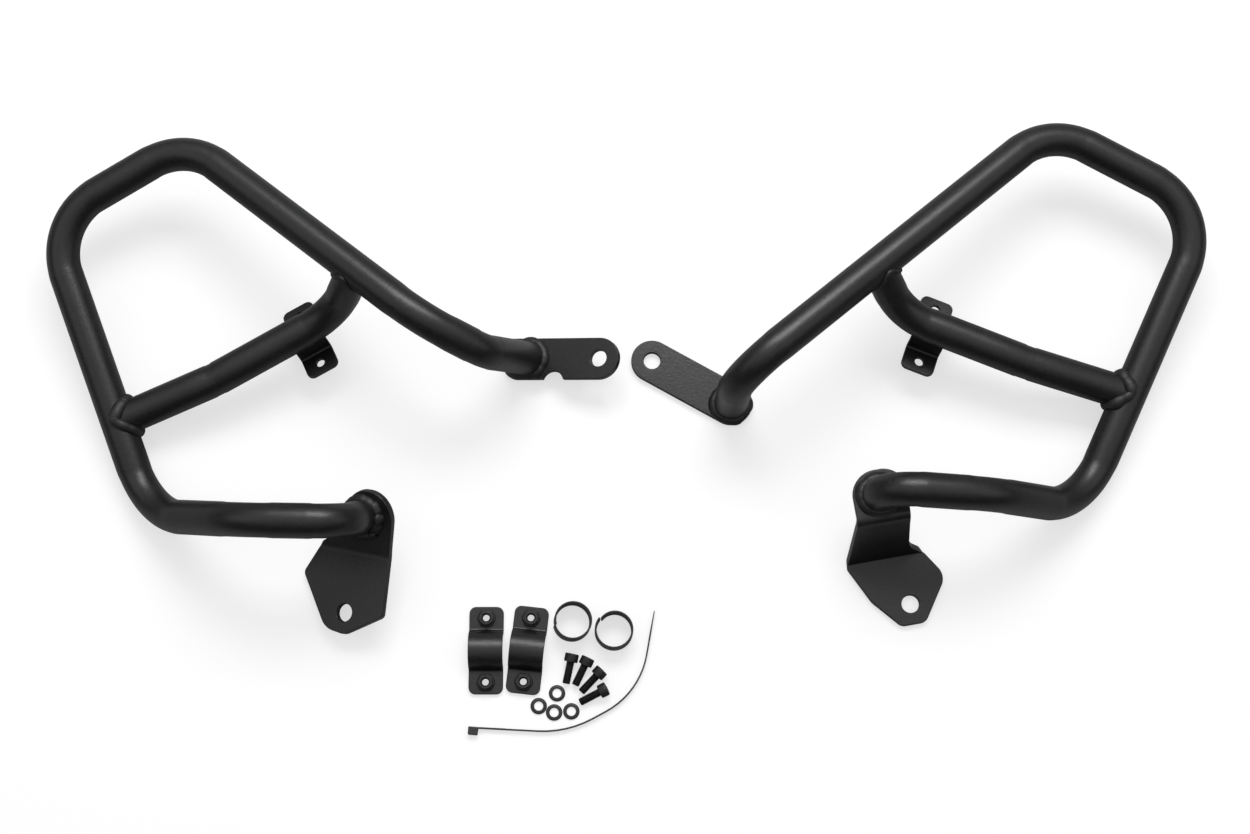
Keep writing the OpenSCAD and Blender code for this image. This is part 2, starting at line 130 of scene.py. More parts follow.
@dataclass(frozen=True)
class DarkFinish:
    """A dark finish with a fine grain, a soft mottle and slightly uneven gloss.

    Attributes:
        colour: linear base colour.
        roughness: middle of the gloss range.
        grain_mm: size of the fine texture.
        grain_depth_mm: its depth.
        sheen_range: how far the gloss wanders each way.
        metallic: 0 for a coat, towards 1 for bare oxide.
        cloud_per_m: noise scale of the wide mottle.
        fleck_per_m: noise scale of the flecks.
        fleck_share: how much of the mottle is flecks.
        fleck_relief: depth of the flecks, in grain depths.
        tint: darkest and lightest tone, as shares of the colour.
        tint_stops: mottle at which they are reached.
    """

    colour: Place
    roughness: float
    grain_mm: float
    grain_depth_mm: float
    sheen_range: float
    metallic: float = 0.0
    cloud_per_m: float = 38.0
    fleck_per_m: float = 430.0
    fleck_share: float = 0.6
    fleck_relief: float = 5.0
    tint: Spot = (0.6, 1.5)
    tint_stops: Spot = (0.3, 0.72)

    def material(self, name: str) -> bpy.types.Material:
        """Build the node material.

        Args:
            name: name of the material.

        Returns:
            The material, ready to go in an object's slots.
        """
        mat = bpy.data.materials.new(name)
        mat.use_nodes = True
        tree = mat.node_tree
        shader = tree.nodes["Principled BSDF"]
        shader.inputs["Metallic"].default_value = self.metallic
        place = tree.nodes.new("ShaderNodeTexCoord")
        cloud = self.noise(tree, place, self.cloud_per_m, detail=3.0)
        fleck = self.noise(tree, place, self.fleck_per_m, detail=2.0)
        grain = self.noise(tree, place, 1 / MM / self.grain_mm, detail=2.0)
        mottle = tree.nodes.new("ShaderNodeMix")
        mottle.inputs["Factor"].default_value = self.fleck_share
        tree.links.new(cloud.outputs["Fac"], mottle.inputs["A"])
        tree.links.new(fleck.outputs["Fac"], mottle.inputs["B"])
        tint = tree.nodes.new("ShaderNodeValToRGB")
        for stop, at, share in zip(tint.color_ramp.elements, self.tint_stops, self.tint):
            stop.position = at
            stop.color = (*(c * share for c in self.colour), 1)
        tree.links.new(mottle.outputs["Result"], tint.inputs["Fac"])
        tree.links.new(tint.outputs["Color"], shader.inputs["Base Color"])
        gloss = tree.nodes.new("ShaderNodeMapRange")
        gloss.inputs["To Min"].default_value = self.roughness - self.sheen_range
        gloss.inputs["To Max"].default_value = self.roughness + self.sheen_range
        tree.links.new(mottle.outputs["Result"], gloss.inputs["Value"])
        tree.links.new(gloss.outputs["Result"], shader.inputs["Roughness"])
        fine = self.bump(tree, grain, self.grain_depth_mm * MM)
        soft = self.bump(tree, fleck, self.grain_depth_mm * self.fleck_relief * MM)
        tree.links.new(soft.outputs["Normal"], fine.inputs["Normal"])
        tree.links.new(fine.outputs["Normal"], shader.inputs["Normal"])
        return mat

    @staticmethod
    def noise(tree: bpy.types.NodeTree, place: bpy.types.Node, scale: float, detail: float) -> bpy.types.Node:
        """Add a noise texture on Object coordinates.

        Args:
            tree: the material's nodes.
            place: the Texture Coordinate node.
            scale: noise scale per metre.
            detail: octaves.

        Returns:
            The noise node.
        """
        node = tree.nodes.new("ShaderNodeTexNoise")
        node.inputs["Scale"].default_value = scale
        node.inputs["Detail"].default_value = detail
        tree.links.new(place.outputs["Object"], node.inputs["Vector"])
        return node

    @staticmethod
    def bump(tree: bpy.types.NodeTree, height: bpy.types.Node, distance: float) -> bpy.types.Node:
        """Add a bump map.

        Args:
            tree: the material's nodes.
            height: the noise that gives its height.
            distance: the height, in m.

        Returns:
            The bump node.
        """
        node = tree.nodes.new("ShaderNodeBump")
        node.inputs["Strength"].default_value = 1.0
        node.inputs["Distance"].default_value = distance
        tree.links.new(height.outputs["Fac"], node.inputs["Height"])
        return node


FINISHES = {
    Slot.POWDER_COAT: DarkFinish((0.0075, 0.0075, 0.008), 0.37, grain_mm=0.42, grain_depth_mm=0.02,
                                 sheen_range=0.1),
    Slot.WELDS: DarkFinish((0.0085, 0.0085, 0.009), 0.5, grain_mm=0.6, grain_depth_mm=0.02, sheen_range=0.06),
    Slot.NUTS: DarkFinish((0.03, 0.03, 0.031), 0.36, grain_mm=0.6, grain_depth_mm=0.01, sheen_range=0.08,
                          metallic=0.6),
    Slot.SCREWS: DarkFinish((0.02, 0.02, 0.0215), 0.34, grain_mm=0.5, grain_depth_mm=0.008, sheen_range=0.08,
                            metallic=0.5),
    Slot.WASHERS: DarkFinish((0.026, 0.026, 0.027), 0.4, grain_mm=0.5, grain_depth_mm=0.01, sheen_range=0.08,
                             metallic=0.4),
    Slot.SLEEVES: DarkFinish((0.022, 0.022, 0.023), 0.38, grain_mm=0.5, grain_depth_mm=0.012,
                             sheen_range=0.07, metallic=0.3),
    Slot.TIE: DarkFinish((0.016, 0.016, 0.017), 0.42, grain_mm=0.5, grain_depth_mm=0.004, sheen_range=0.05),
}


class Workshop:
    """Turns bmeshes into finished pieces."""

    # how strongly a flat face holds its own shading against the rounded edges round it
    FLAT_WEIGHT = 70

    def __init__(self) -> None:
        """Build every finish once."""
        self.finish = {slot: look.material(slot.value) for slot, look in FINISHES.items()}

    def piece(self, bm: BMesh, name: str, slot: Slot, place: Matrix, replaces: tuple[str, ...] = (),
              smooth: float = 40.0, flats: bool = False) -> None:
        """Make a finished object from a bmesh that was built in mm.

        The object stands at the origin, with its place in its mesh.

        Args:
            bm: the mesh, in mm in its own frame; it is freed here.
            name: the piece's name.
            slot: the finish it takes.
            place: frame of the piece on the floor plan, in mm.
            replaces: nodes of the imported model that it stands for.
            smooth: edges sharper than this, in degrees, stay sharp.
            flats: large flat faces keep their own shading.
        """
        bmesh.ops.transform(bm, matrix=Matrix.Scale(MM, 4) @ Matrix.Translation(SET_AT) @ place, verts=bm.verts)
        bmesh.ops.recalc_face_normals(bm, faces=bm.faces)
        for face in bm.faces:
            face.smooth = True
        for edge in bm.edges:
            if len(edge.link_faces) == 2:
                edge.smooth = edge.calc_face_angle(0.0) < math.radians(smooth)
        mesh = bpy.data.meshes.new(name)
        bm.to_mesh(mesh)
        bm.free()
        obj = bpy.data.objects.new(name, mesh)
        bpy.context.scene.collection.objects.link(obj)
        mesh.materials.append(self.finish[slot])
        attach(obj, "root")
        if replaces:
            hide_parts(*replaces)
        if flats:
            shade = obj.modifiers.new("shade", "WEIGHTED_NORMAL")
            shade.keep_sharp = True
            shade.weight = self.FLAT_WEIGHT
        LOG.info("%s: %d faces", name, len(mesh.polygons))


def ring_edges(verts: list[BMVert]) -> list[BMEdge]:
    """Return the edges that join verts of one ring to each other."""
    inside = set(verts)
    return list({e for v in verts for e in v.link_edges if e.verts[0] in inside and e.verts[1] in inside})


def new_verts(result: dict, key: str) -> list[BMVert]:
    """Return the verts among an operator's results."""
    return [g for g in result[key] if isinstance(g, BMVert)]


def everything(bm: BMesh) -> list:
    """Return all verts, edges and faces of a mesh."""
    return list(bm.verts) + list(bm.edges) + list(bm.faces)


@dataclass
class BentTube:
    """A round tube bent along corners, cut where it meets the metal at its ends.

    Attributes:
        corners: corners of the centreline, in mm.
        radii: centreline radius of each bend.
        radius: outside radius of the tube.
        draw: how much a bend draws the tube in, as a part of its radius.
        fade: part of a bend over which the drawing-in comes and goes.
        sides: facets round the tube.
        run_step: length of the rings' spacing along a straight run, in mm.
        bend_step: turn from ring to ring in a bend, in degrees.
    """

    corners: list[Vector]
    radii: list[float]
    radius: float = TUBE_R
    draw: float = 0.026
    fade: float = 0.12
    sides: int = 56
    run_step: float = 20.0
    bend_step: float = 2.5

    def heading(self, i: int) -> Vector:
        """Return the direction of the run after corner i."""
        return unit(self.corners[i + 1] - self.corners[i])

    def angle(self, i: int) -> float:
        """Return the turn at corner i, in radians."""
        return self.heading(i - 1).angle(self.heading(i))

    def setback(self, i: int) -> float:
        """Find how far before a corner its bend starts.

        Args:
            i: the corner, which may be an end.

        Returns:
            The distance in mm, 0 at the ends.
        """
        if i < 1 or i > len(self.corners) - 2:
            return 0.0
        return self.radii[i - 1] * math.tan(self.angle(i) / 2)

    def bend_axis(self, i: int) -> tuple[Vector, Vector]:
        """Find the circle of a bend.

        Args:
            i: its corner.

        Returns:
            Its centre and its axis.
        """
        a, b = self.heading(i - 1), self.heading(i)
        start = self.corners[i] - a * self.setback(i)
        inward = unit(b - a * a.dot(b))
        return start + inward * self.radii[i - 1], unit(a.cross(b))

    def mesh(self) -> BMesh:
        """Sweep the tube: straights by extrusion, bends by spin.

        Returns:
            The tube's outside skin, open at both ends.
        """
        bm = bmesh.new()
        start = facing(self.corners[0], self.heading(0))
        bmesh.ops.create_circle(bm, cap_ends=False, segments=self.sides, radius=self.radius, matrix=start)
        ring = list(bm.verts)
        for i in range(len(self.corners) - 1):
            run = self.corners[i + 1] - self.corners[i]
            length = run.length - self.setback(i) - self.setback(i + 1)
            pieces = max(1, round(length / self.run_step))
            for _ in range(pieces):
                result = bmesh.ops.extrude_edge_only(bm, edges=ring_edges(ring))
                ring = new_verts(result, "geom")
                bmesh.ops.translate(bm, verts=ring, vec=unit(run) * length / pieces)
            if i < len(self.corners) - 2:
                ring = self.bend(bm, ring, i + 1)
        return bm

    def bend(self, bm: BMesh, ring: list[BMVert], i: int) -> list[BMVert]:
        """Spin the last ring round corner i and draw the bend in a little.

        Args:
            bm: the tube so far.
            ring: its last ring.
            i: the corner.

        Returns:
            The ring at the bend's end.
        """
        centre, axis = self.bend_axis(i)
        angle, bend_r = self.angle(i), self.radii[i - 1]
        before = set(bm.verts)
        result = bmesh.ops.spin(bm, geom=ring + ring_edges(ring), cent=centre, axis=axis, angle=angle,
                                steps=max(6, round(math.degrees(angle) / self.bend_step)),
                                use_merge=False, use_duplicate=False)
        start = self.corners[i] - self.heading(i - 1) * self.setback(i) - centre
        for v in bm.verts:
            if v in before:
                continue
            flat = v.co - centre
            flat -= axis * flat.dot(axis)
            turn = math.atan2(start.cross(flat).dot(axis), start.dot(flat))
            middle = centre + unit(flat) * bend_r
            along = min(max(turn / angle, 0), 1)
            drawn = eased(min(1.0, along / self.fade, (1 - along) / self.fade))
            v.co = middle + (v.co - middle) * (1 - self.draw * drawn)
        return new_verts(result, "geom_last")

    def cut(self, bm: BMesh, at: Vector, normal: Vector, reach: float) -> None:
        """Cut an end off square to a face and close it there.

        Args:
            bm: the tube.
            at: a point of the cutting face.
            normal: the side that goes.
            reach: only metal this near the point is cut.
        """
        on_face = 0.01
        near = {v for v in bm.verts if (v.co - at).length < reach}
        faces = [f for f in bm.faces if all(v in near for v in f.verts)]
        edges = list({e for f in faces for e in f.edges})
        bmesh.ops.bisect_plane(bm, geom=list(near) + edges + faces, dist=1e-5, plane_co=at, plane_no=normal,
                               clear_outer=True, clear_inner=False)
        rim = [e for e in bm.edges if e.is_boundary and (e.verts[0].co - at).length < reach
               and all(abs((v.co - at).dot(normal)) < on_face for v in e.verts)]
        bmesh.ops.holes_fill(bm, edges=rim, sides=0)

    def cope(self, bm: BMesh, first: bool, a: Vector, b: Vector) -> None:
        """Slide an end ring along the tube until it lies on another tube.

        Args:
            bm: the tube.
            first: the first end, else the last.
            a: a point on the other tube's centreline.
            b: another one.
        """
        end = self.corners[0] if first else self.corners[-1]
        way = self.heading(0) if first else -self.heading(len(self.corners) - 2)
        rim = [v for v in bm.verts if v.is_boundary and (v.co - end).length < self.radius * 2]
        for v in rim:
            v.co += way * reach_out(v.co, way, a, b)
        bmesh.ops.holes_fill(bm, edges=ring_edges(rim), sides=0)


def reach_out(point: Vector, way: Vector, a: Vector, b: Vector, radius: float = TUBE_R) -> float:
    """Measure how far along a way a point is from the side of a tube.

    Args:
        point: the point.
        way: the way, at length one.
        a: a point of the tube's centreline.
        b: another one.
        radius: the tube's outside radius.

    Returns:
        The distance in mm.
    """
    d = unit(b - a)
    p = point - a
    u, w = p - d * p.dot(d), way - d * way.dot(d)
    k, m, n = w.dot(w), u.dot(w), u.dot(u) - radius * radius
    return (-m + math.sqrt(max(m * m - k * n, 0.0))) / k


@dataclass
class Bead:
    """A laid weld bead: a rounded ridge with the ripples of each puddle.

    Attributes:
        seam: points of the seam, in mm, evenly spaced.
        out: direction that the bead faces at each point.
        size: half the bead's width.
        pitch: distance from ripple to ripple.
        lumps: how uneven its puddles are.
        seed: seed of the unevenness.
        closed: the seam runs round to its start.
        sides: facets round its section.
        height: the section's height, as a share of its width.
        ripple: how much a puddle swells at its middle.
        stray: how far an uneven puddle strays sideways, in mm.
        puddles: after this many the unevenness repeats.
    """

    seam: list[Vector]
    out: list[Vector]
    size: float
    pitch: float
    lumps: float = 0.05
    seed: int = 1
    closed: bool = True
    sides: int = 16
    height: float = 0.82
    ripple: float = 0.06
    stray: float = 2.5
    puddles: int = 64

    def mesh(self) -> BMesh:
        """Sweep an uneven round section along the seam.

        Returns:
            The bead.
        """
        draws = random.Random(self.seed)
        waver = [draws.uniform(-1, 1) for _ in range(self.puddles)]
        step = sum((b - a).length for a, b in zip(self.seam, self.seam[1:])) / (len(self.seam) - 1)
        bm = bmesh.new()
        shape = self.section(0, step, waver)
        made = bmesh.ops.create_circle(bm, cap_ends=False, segments=self.sides, radius=1, matrix=shape)
        ring = first = list(made["verts"])
        for i in range(1, len(self.seam)):
            before, shape = shape, self.section(i, step, waver)
            result = bmesh.ops.extrude_edge_only(bm, edges=ring_edges(ring))
            ring = new_verts(result, "geom")
            bmesh.ops.transform(bm, matrix=shape @ before.inverted(), verts=ring)
        ends = ring_edges(ring) + ring_edges(first)
        if self.closed:
            bmesh.ops.bridge_loops(bm, edges=ends)
        else:
            bmesh.ops.holes_fill(bm, edges=ends, sides=0)
        return bm

    def section(self, i: int, step: float, waver: list[float]) -> Matrix:
        """Return the frame that puts a unit circle round the seam's point i.

        Args:
            i: the point.
            step: distance from point to point.
            waver: unevenness of each puddle, from -1 to 1.

        Returns:
            The frame, with the section's size there in it.
        """
        last = len(self.seam) - 1
        before = self.seam[i - 1] if i or self.closed else self.seam[0]
        after = self.seam[(i + 1) % len(self.seam)] if i < last or self.closed else self.seam[-1]
        along = unit(after - before)
        out = unit(self.out[i] - along * self.out[i].dot(along))
        side = along.cross(out)
        turns = i * step / self.pitch
        puddle = turns % 1.0
        ease = eased(puddle)
        lump = (waver[int(turns) % self.puddles] * (1 - ease)
                + waver[(int(turns) + 1) % self.puddles] * ease)
        swell = 1 + self.ripple * math.sin(math.pi * puddle) ** 0.8 + self.lumps * lump
        if not self.closed:
            # an open bead tapers over its first and last points
            swell *= min(1.0, 0.25 + 0.4 * min(i, last - i))
        place = Matrix((side, out, along)).transposed().to_4x4()
        place.translation = self.seam[i] + side * self.stray * self.lumps * lump
        return place @ Matrix.Diagonal((self.size * swell, self.size * self.height * swell, 1, 1))


@dataclass
class WeldLump:
    """A blob of weld metal: an uneven, flattened ball.

    Attributes:
        at: a point of the seam, in mm.
        out: the way the blob stands out there.
        seed: seed of the unevenness.
        size: its half sizes, the last one along that way.
        rise: how far its middle stands off the seam.
        waves: how many waves make it uneven.
        wave_height: height of each, as a share of its size.
    """

    at: Vector
    out: Vector
    seed: int
    size: Place = (4.8, 4.0, 2.5)
    rise: float = 2.3
    waves: int = 5
    wave_height: float = 0.09

    def mesh(self) -> BMesh:
        """Push a ball about by waves and flatten it.

        Returns:
            The blob.
        """
        draws = random.Random(self.seed)
        bm = bmesh.new()
        bmesh.ops.create_icosphere(bm, subdivisions=4, radius=1.0)
        waves = [(Vector((draws.uniform(-3, 3), draws.uniform(-3, 3), draws.uniform(-3, 3))),
                  draws.uniform(0, 6.28)) for _ in range(self.waves)]
        for v in bm.verts:
            v.co *= 1 + self.wave_height * sum(math.sin(v.co.dot(wave) + phase) for wave, phase in waves)
        place = facing(self.at + self.out * self.rise, self.out) @ Matrix.Diagonal((*self.size, 1))
        bmesh.ops.transform(bm, matrix=place, verts=bm.verts)
        return bm


def spokes(way: Vector, count: int) -> list[Vector]:
    """Spread unit vectors evenly round a way.

    Args:
        way: what they are square to, at length one.
        count: how many.

    Returns:
        The vectors.
    """
    x = unit(way.orthogonal())
    y = way.cross(x)
    turns = [2 * math.pi * k / count for k in range(count)]
    return [x * math.cos(t) + y * math.sin(t) for t in turns]


def seat_seam(a: Vector, b: Vector, at: Vector, normal: Vector, count: int = 170
              ) -> tuple[list[Vector], list[Vector]]:
    """Return the seam of a tube from a to b on a flat face, and the way the bead faces.

    Args:
        a: end of the tube's centreline.
        b: next point of it.
        at: a point of the face.
        normal: the face's normal, towards the tube.
        count: points of the seam.

    Returns:
        Points of the seam and directions.
    """
    off_tube, off_face = 0.4, 0.5
    way = unit(b - a)
    seam, out = [], []
    for spoke in spokes(way, count):
        p = a + spoke * (TUBE_R + off_tube)
        p += way * ((at - p).dot(normal) / way.dot(normal))
        seam.append(p + normal * off_face)
        out.append(unit(spoke + normal))
    return seam, out


def cope_seam(a: Vector, b: Vector, c: Vector, d: Vector, count: int = 190
              ) -> tuple[list[Vector], list[Vector]]:
    """Return the seam where a tube that starts at a meets the side of the tube from c to d.

    Args:
        a: start of the joining tube, on the other's centreline.
        b: next point of the joining tube.
        c: a point of the other tube's centreline.
        d: another one.
        count: points of the seam.

    Returns:
        Points of the seam and directions.
    """
    off_tube, off_main = 0.3, 0.4
    way, main = unit(b - a), unit(d - c)
    seam, out = [], []
    for spoke in spokes(way, count):
        p = a + spoke * (TUBE_R + off_tube)
        p += way * reach_out(p, way, c, d, TUBE_R + off_main)
        foot = c + main * (p - c).dot(main)
        seam.append(p)
        out.append(unit(spoke + unit(p - foot)))
    return seam, out


def corner_arc(a: Vector, b: Vector, c: Vector, r: float, n: int) -> list[Vector]:
    """Round corner b between a and c.

    Args:
        a: the corner before.
        b: the corner.
        c: the corner after.
        r: radius.
        n: steps of the arc.

    Returns:
        Points of the arc.
    """
    u, w = unit(a - b), unit(c - b)
    half = u.angle(w) / 2
    middle = b + unit(u + w) * (r / math.sin(half))
    start = b + u * (r / math.tan(half)) - middle
    way = -1 if u.cross(w).z > 0 else 1
    sweep = math.pi - 2 * half
    return [middle + Matrix.Rotation(way * sweep * k / n, 3, "Z") @ start for k in range(n + 1)]


def arc_steps(radius: float) -> int:
    """Return how many steps an outline's corner of a radius gets."""
    return max(4, round(radius * 0.9) + 3)


def rounded(points: list[Spot], radii: list[float]) -> list[Vector]:
    """Round the corners of a closed outline.

    Args:
        points: its corners.
        radii: radius of each.

    Returns:
        The outline's points.
    """
    corners = [Vector((x, y, 0)) for x, y in points]
    out: list[Vector] = []
    for i, b in enumerate(corners):
        after = corners[(i + 1) % len(corners)]
        out += corner_arc(corners[i - 1], b, after, radii[i], arc_steps(radii[i]))
    return out


def circle(x: float, y: float, r: float, n: int = 40) -> list[Vector]:
    """Return a round outline that runs clockwise, for a hole."""
    turns = [-2 * math.pi * k / n for k in range(n)]
    return [Vector((x + r * math.cos(t), y + r * math.sin(t), 0)) for t in turns]


@dataclass
class FoldLine:
    """Middle line of a folded sheet, seen from the side.

    Attributes:
        corners: its corners as (y, z), in mm.
        radii: middle radius of each fold; none where the line keeps to its corners.
        samples: points of the line with the length run up to each.
    """

    corners: list[Spot]
    radii: list[float]
    samples: list[tuple[float, Vector]] = field(init=False)

    def __post_init__(self) -> None:
        """Sample the line: straights by their ends, folds every five degrees."""
        line = points = [Vector((y, z, 0)) for y, z in self.corners]
        if self.radii:
            line = [points[0]]
            for a, b, c, radius in zip(points, points[1:], points[2:], self.radii):
                turn = math.degrees(unit(b - a).angle(unit(c - b)))
                line += corner_arc(a, b, c, radius, max(3, round(turn / 5)))
            line.append(points[-1])
        far = 0.0
        self.samples = []
        for k, p in enumerate(line):
            far += (p - line[k - 1]).length if k else 0.0
            self.samples.append((far, p))

    def spot(self, s: float) -> Vector:
        """Find a point of the line.

        Args:
            s: length run up to it.

        Returns:
            The point.
        """
        pairs = list(zip(self.samples, self.samples[1:]))
        (start, a), (_, b) = next((p for p in pairs if s <= p[1][0]), pairs[-1])
        return a + unit(b - a) * (s - start)

    def normal(self, s: float) -> Vector:
        """Find the sheet's upward normal, smooth through the folds.

        Args:
            s: length run up to the spot.

        Returns:
            The normal.
        """
        probe = 0.05
        along = unit(self.spot(s + probe) - self.spot(s - probe))
        return Vector((-along.y, along.x, 0))

    def length_at(self, y: float) -> float:
        """Find the length at which a line that runs one way in y reaches a y.

        Args:
            y: where.

        Returns:
            The length run.
        """
        sign = 1 if self.samples[-1][1].x > self.samples[0][1].x else -1
        for (s0, a), (s1, b) in zip(self.samples, self.samples[1:]):
            if sign * (y - b.x) <= 0 or b is self.samples[-1][1]:
                return s0 + (y - a.x) / (b.x - a.x) * (s1 - s0)
        return self.samples[-1][0]


@dataclass
class Sheet:
    """A cut, drilled and folded steel sheet with rounded edges.

    Attributes:
        outline: closed outline, counter-clockwise from above; y is length along the fold line, if it has one.
        holes: closed outlines, clockwise.
        thickness: the sheet's.
        fold: middle line of the folded side view.
        edge: radius of the rounded edges.
    """

    outline: list[Vector]
    holes: list[list[Vector]]
    thickness: float = SHEET_T
    fold: FoldLine | None = None
    edge: float = 0.55

    def mesh(self) -> BMesh:
        """Build the rims ring by ring, fill both faces between them and fold the result.

        Returns:
            The sheet, its middle plane at z = 0 when flat.
        """
        bm = bmesh.new()
        top: list[BMEdge] = []
        bottom: list[BMEdge] = []
        for loop in (self.outline, *self.holes):
            first, last = self.rim(bm, loop)
            top += first
            bottom += last
        for edges in (top, bottom):
            bmesh.ops.triangle_fill(bm, edges=edges, use_beauty=True, use_dissolve=False)
        if self.fold:
            self.bend(bm)
        return bm

    def rim(self, bm: BMesh, loop: list[Vector]) -> tuple[list[BMEdge], list[BMEdge]]:
        """Build the rounded wall of one outline.

        Args:
            bm: the mesh.
            loop: the outline.

        Returns:
            The edges of its top ring and of its bottom ring.
        """
        count, half, edge = len(loop), self.thickness / 2, self.edge
        inward = []
        for k, p in enumerate(loop):
            a, b = unit(p - loop[k - 1]), unit(loop[(k + 1) % count] - p)
            side = Vector((-(a.y + b.y), a.x + b.x, 0)).normalized()
            inward.append(side / max(0.5, side.dot(Vector((-a.y, a.x, 0)))))
        quarter = [(1 - math.sin(math.radians(q)), math.cos(math.radians(q))) for q in (0, 30, 60, 90)]
        levels = [(edge * inset, half - edge + edge * z) for inset, z in quarter]
        levels += [(inset, -z) for inset, z in reversed(levels)]
        inset, z = levels[0]
        ring = [bm.verts.new(p + inward[k] * inset + Vector((0, 0, z))) for k, p in enumerate(loop)]
        edges = [bm.edges.new((ring[k - 1], ring[k])) for k in range(count)]
        first = list(edges)
        for inset, z in levels[1:]:
            old = set(ring)
            fresh = new_verts(bmesh.ops.extrude_edge_only(bm, edges=edges), "geom")
            above = {e.other_vert(v): v for v in fresh for e in v.link_edges if e.other_vert(v) in old}
            ring = [above[v] for v in ring]
            for k, v in enumerate(ring):
                v.co = loop[k] + inward[k] * inset + Vector((0, 0, z))
            edges = ring_edges(ring)
        return first, edges

    def bend(self, bm: BMesh) -> None:
        """Cut the flat sheet across at the folds and lay it along the fold line."""
        for s, _ in self.fold.samples[1:-1]:
            bmesh.ops.bisect_plane(bm, geom=everything(bm), dist=1e-4, plane_co=(0, s, 0), plane_no=(0, 1, 0))
        for v in bm.verts:
            point, normal = self.fold.spot(v.co.y), self.fold.normal(v.co.y)
            v.co = Vector((v.co.x, point.x + normal.x * v.co.z, point.y + normal.y * v.co.z))


@dataclass
class Saddle:
    """A pressed half clamp: two ears and a half-round crown.

    Attributes:
        thickness: the sheet's.
        width: along the channel.
        crown: outside radius of the crown.
        pitch: from ear hole to ear hole.
        length: over both ears.
        corner: radius of the ears' corners.
        hole: radius of the ear holes.
        fillet: inside radius between ear and crown.
        edge: radius of the rounded edges.
    """

    thickness: float = 3.0
    width: float = 25.0
    crown: float = 14.0
    pitch: float = 46.5
    length: float = 63.5
    corner: float = 5.0
    hole: float = 3.3
    fillet: float = 2.0
    edge: float = 0.45

    def fold(self) -> FoldLine:
        """Draw the middle line: ear, half circle, ear.

        Returns:
            The line, with the ears' top face at z = 0.
        """
        half = self.thickness / 2
        crown, fillet = self.crown - half, self.fillet + half
        lean = math.asin(self.fillet / (crown + fillet))
        centre = Vector((-math.sqrt((crown + fillet) ** 2 - self.fillet ** 2), self.fillet, 0))
        rise = [math.radians(-90) + (math.pi / 2 - lean) * k / 8 for k in range(9)]
        over = [lean + (math.pi - 2 * lean) * k / 36 for k in range(1, 36)]
        near = [Vector((-self.length / 2, -half, 0))]
        near += [centre + fillet * Vector((math.cos(a), math.sin(a), 0)) for a in rise]
        top = [crown * Vector((-math.cos(a), math.sin(a), 0)) for a in over]
        line = [(p.x, p.y) for p in near + top] + [(-p.x, p.y) for p in reversed(near)]
        return FoldLine(line, [])

    def mesh(self) -> BMesh:
        """Press the saddle.

        Returns:
            The saddle, its channel along x and its crown up.
        """
        line = self.fold()
        total, half = line.samples[-1][0], self.width / 2
        outline = rounded([(-half, 0), (half, 0), (half, total), (-half, total)], [self.corner] * 4)
        ear = (self.length - self.pitch) / 2
        holes = [circle(0, ear, self.hole), circle(0, total - ear, self.hole)]
        return Sheet(outline, holes, self.thickness, line, self.edge).mesh()


def lathe(profile: list[Spot], degrees: float = 360.0, steps: int = 64) -> BMesh:
    """Spin a closed profile about z.

    Args:
        profile: its points as (radius, height), in mm.
        degrees: how far round.
        steps: facets of the turn.

    Returns:
        The turned shape, closed at both ends if it stops short of a full turn.
    """
    bm = bmesh.new()
    ring = [bm.verts.new((r, 0, z)) for r, z in profile]
    edges = [bm.edges.new((ring[k - 1], ring[k])) for k in range(len(ring))]
    full = degrees >= 360.0
    bmesh.ops.spin(bm, geom=ring + edges, cent=(0, 0, 0), axis=(0, 0, 1), angle=math.radians(degrees),
                   steps=steps, use_merge=full, use_duplicate=False)
    if not full:
        bmesh.ops.holes_fill(bm, edges=[e for e in bm.edges if e.is_boundary], sides=0)
    return bm


def wind(bm: BMesh, profile: list[Spot], closed: bool, turns: int, steps: int) -> None:
    """Wind a thread's profile round z, climbing 1 mm a turn.

    Args:
        bm: the mesh that gets the thread.
        profile: its points as (radius, height), in mm.
        closed: the profile closes on itself.
        turns: how many turns.
        steps: facets of a turn.
    """
    spots = [bm.verts.new((r, 0, z)) for r, z in profile]
    lines = [bm.edges.new((spots[k - 1], spots[k])) for k in range(0 if closed else 1, len(spots))]
    bmesh.ops.spin(bm, geom=spots + lines, cent=(0, 0, 0), axis=(0, 0, 1), dvec=(0, 0, 1 / steps),
                   angle=2 * math.pi * turns, steps=turns * steps, use_merge=False, use_duplicate=False)


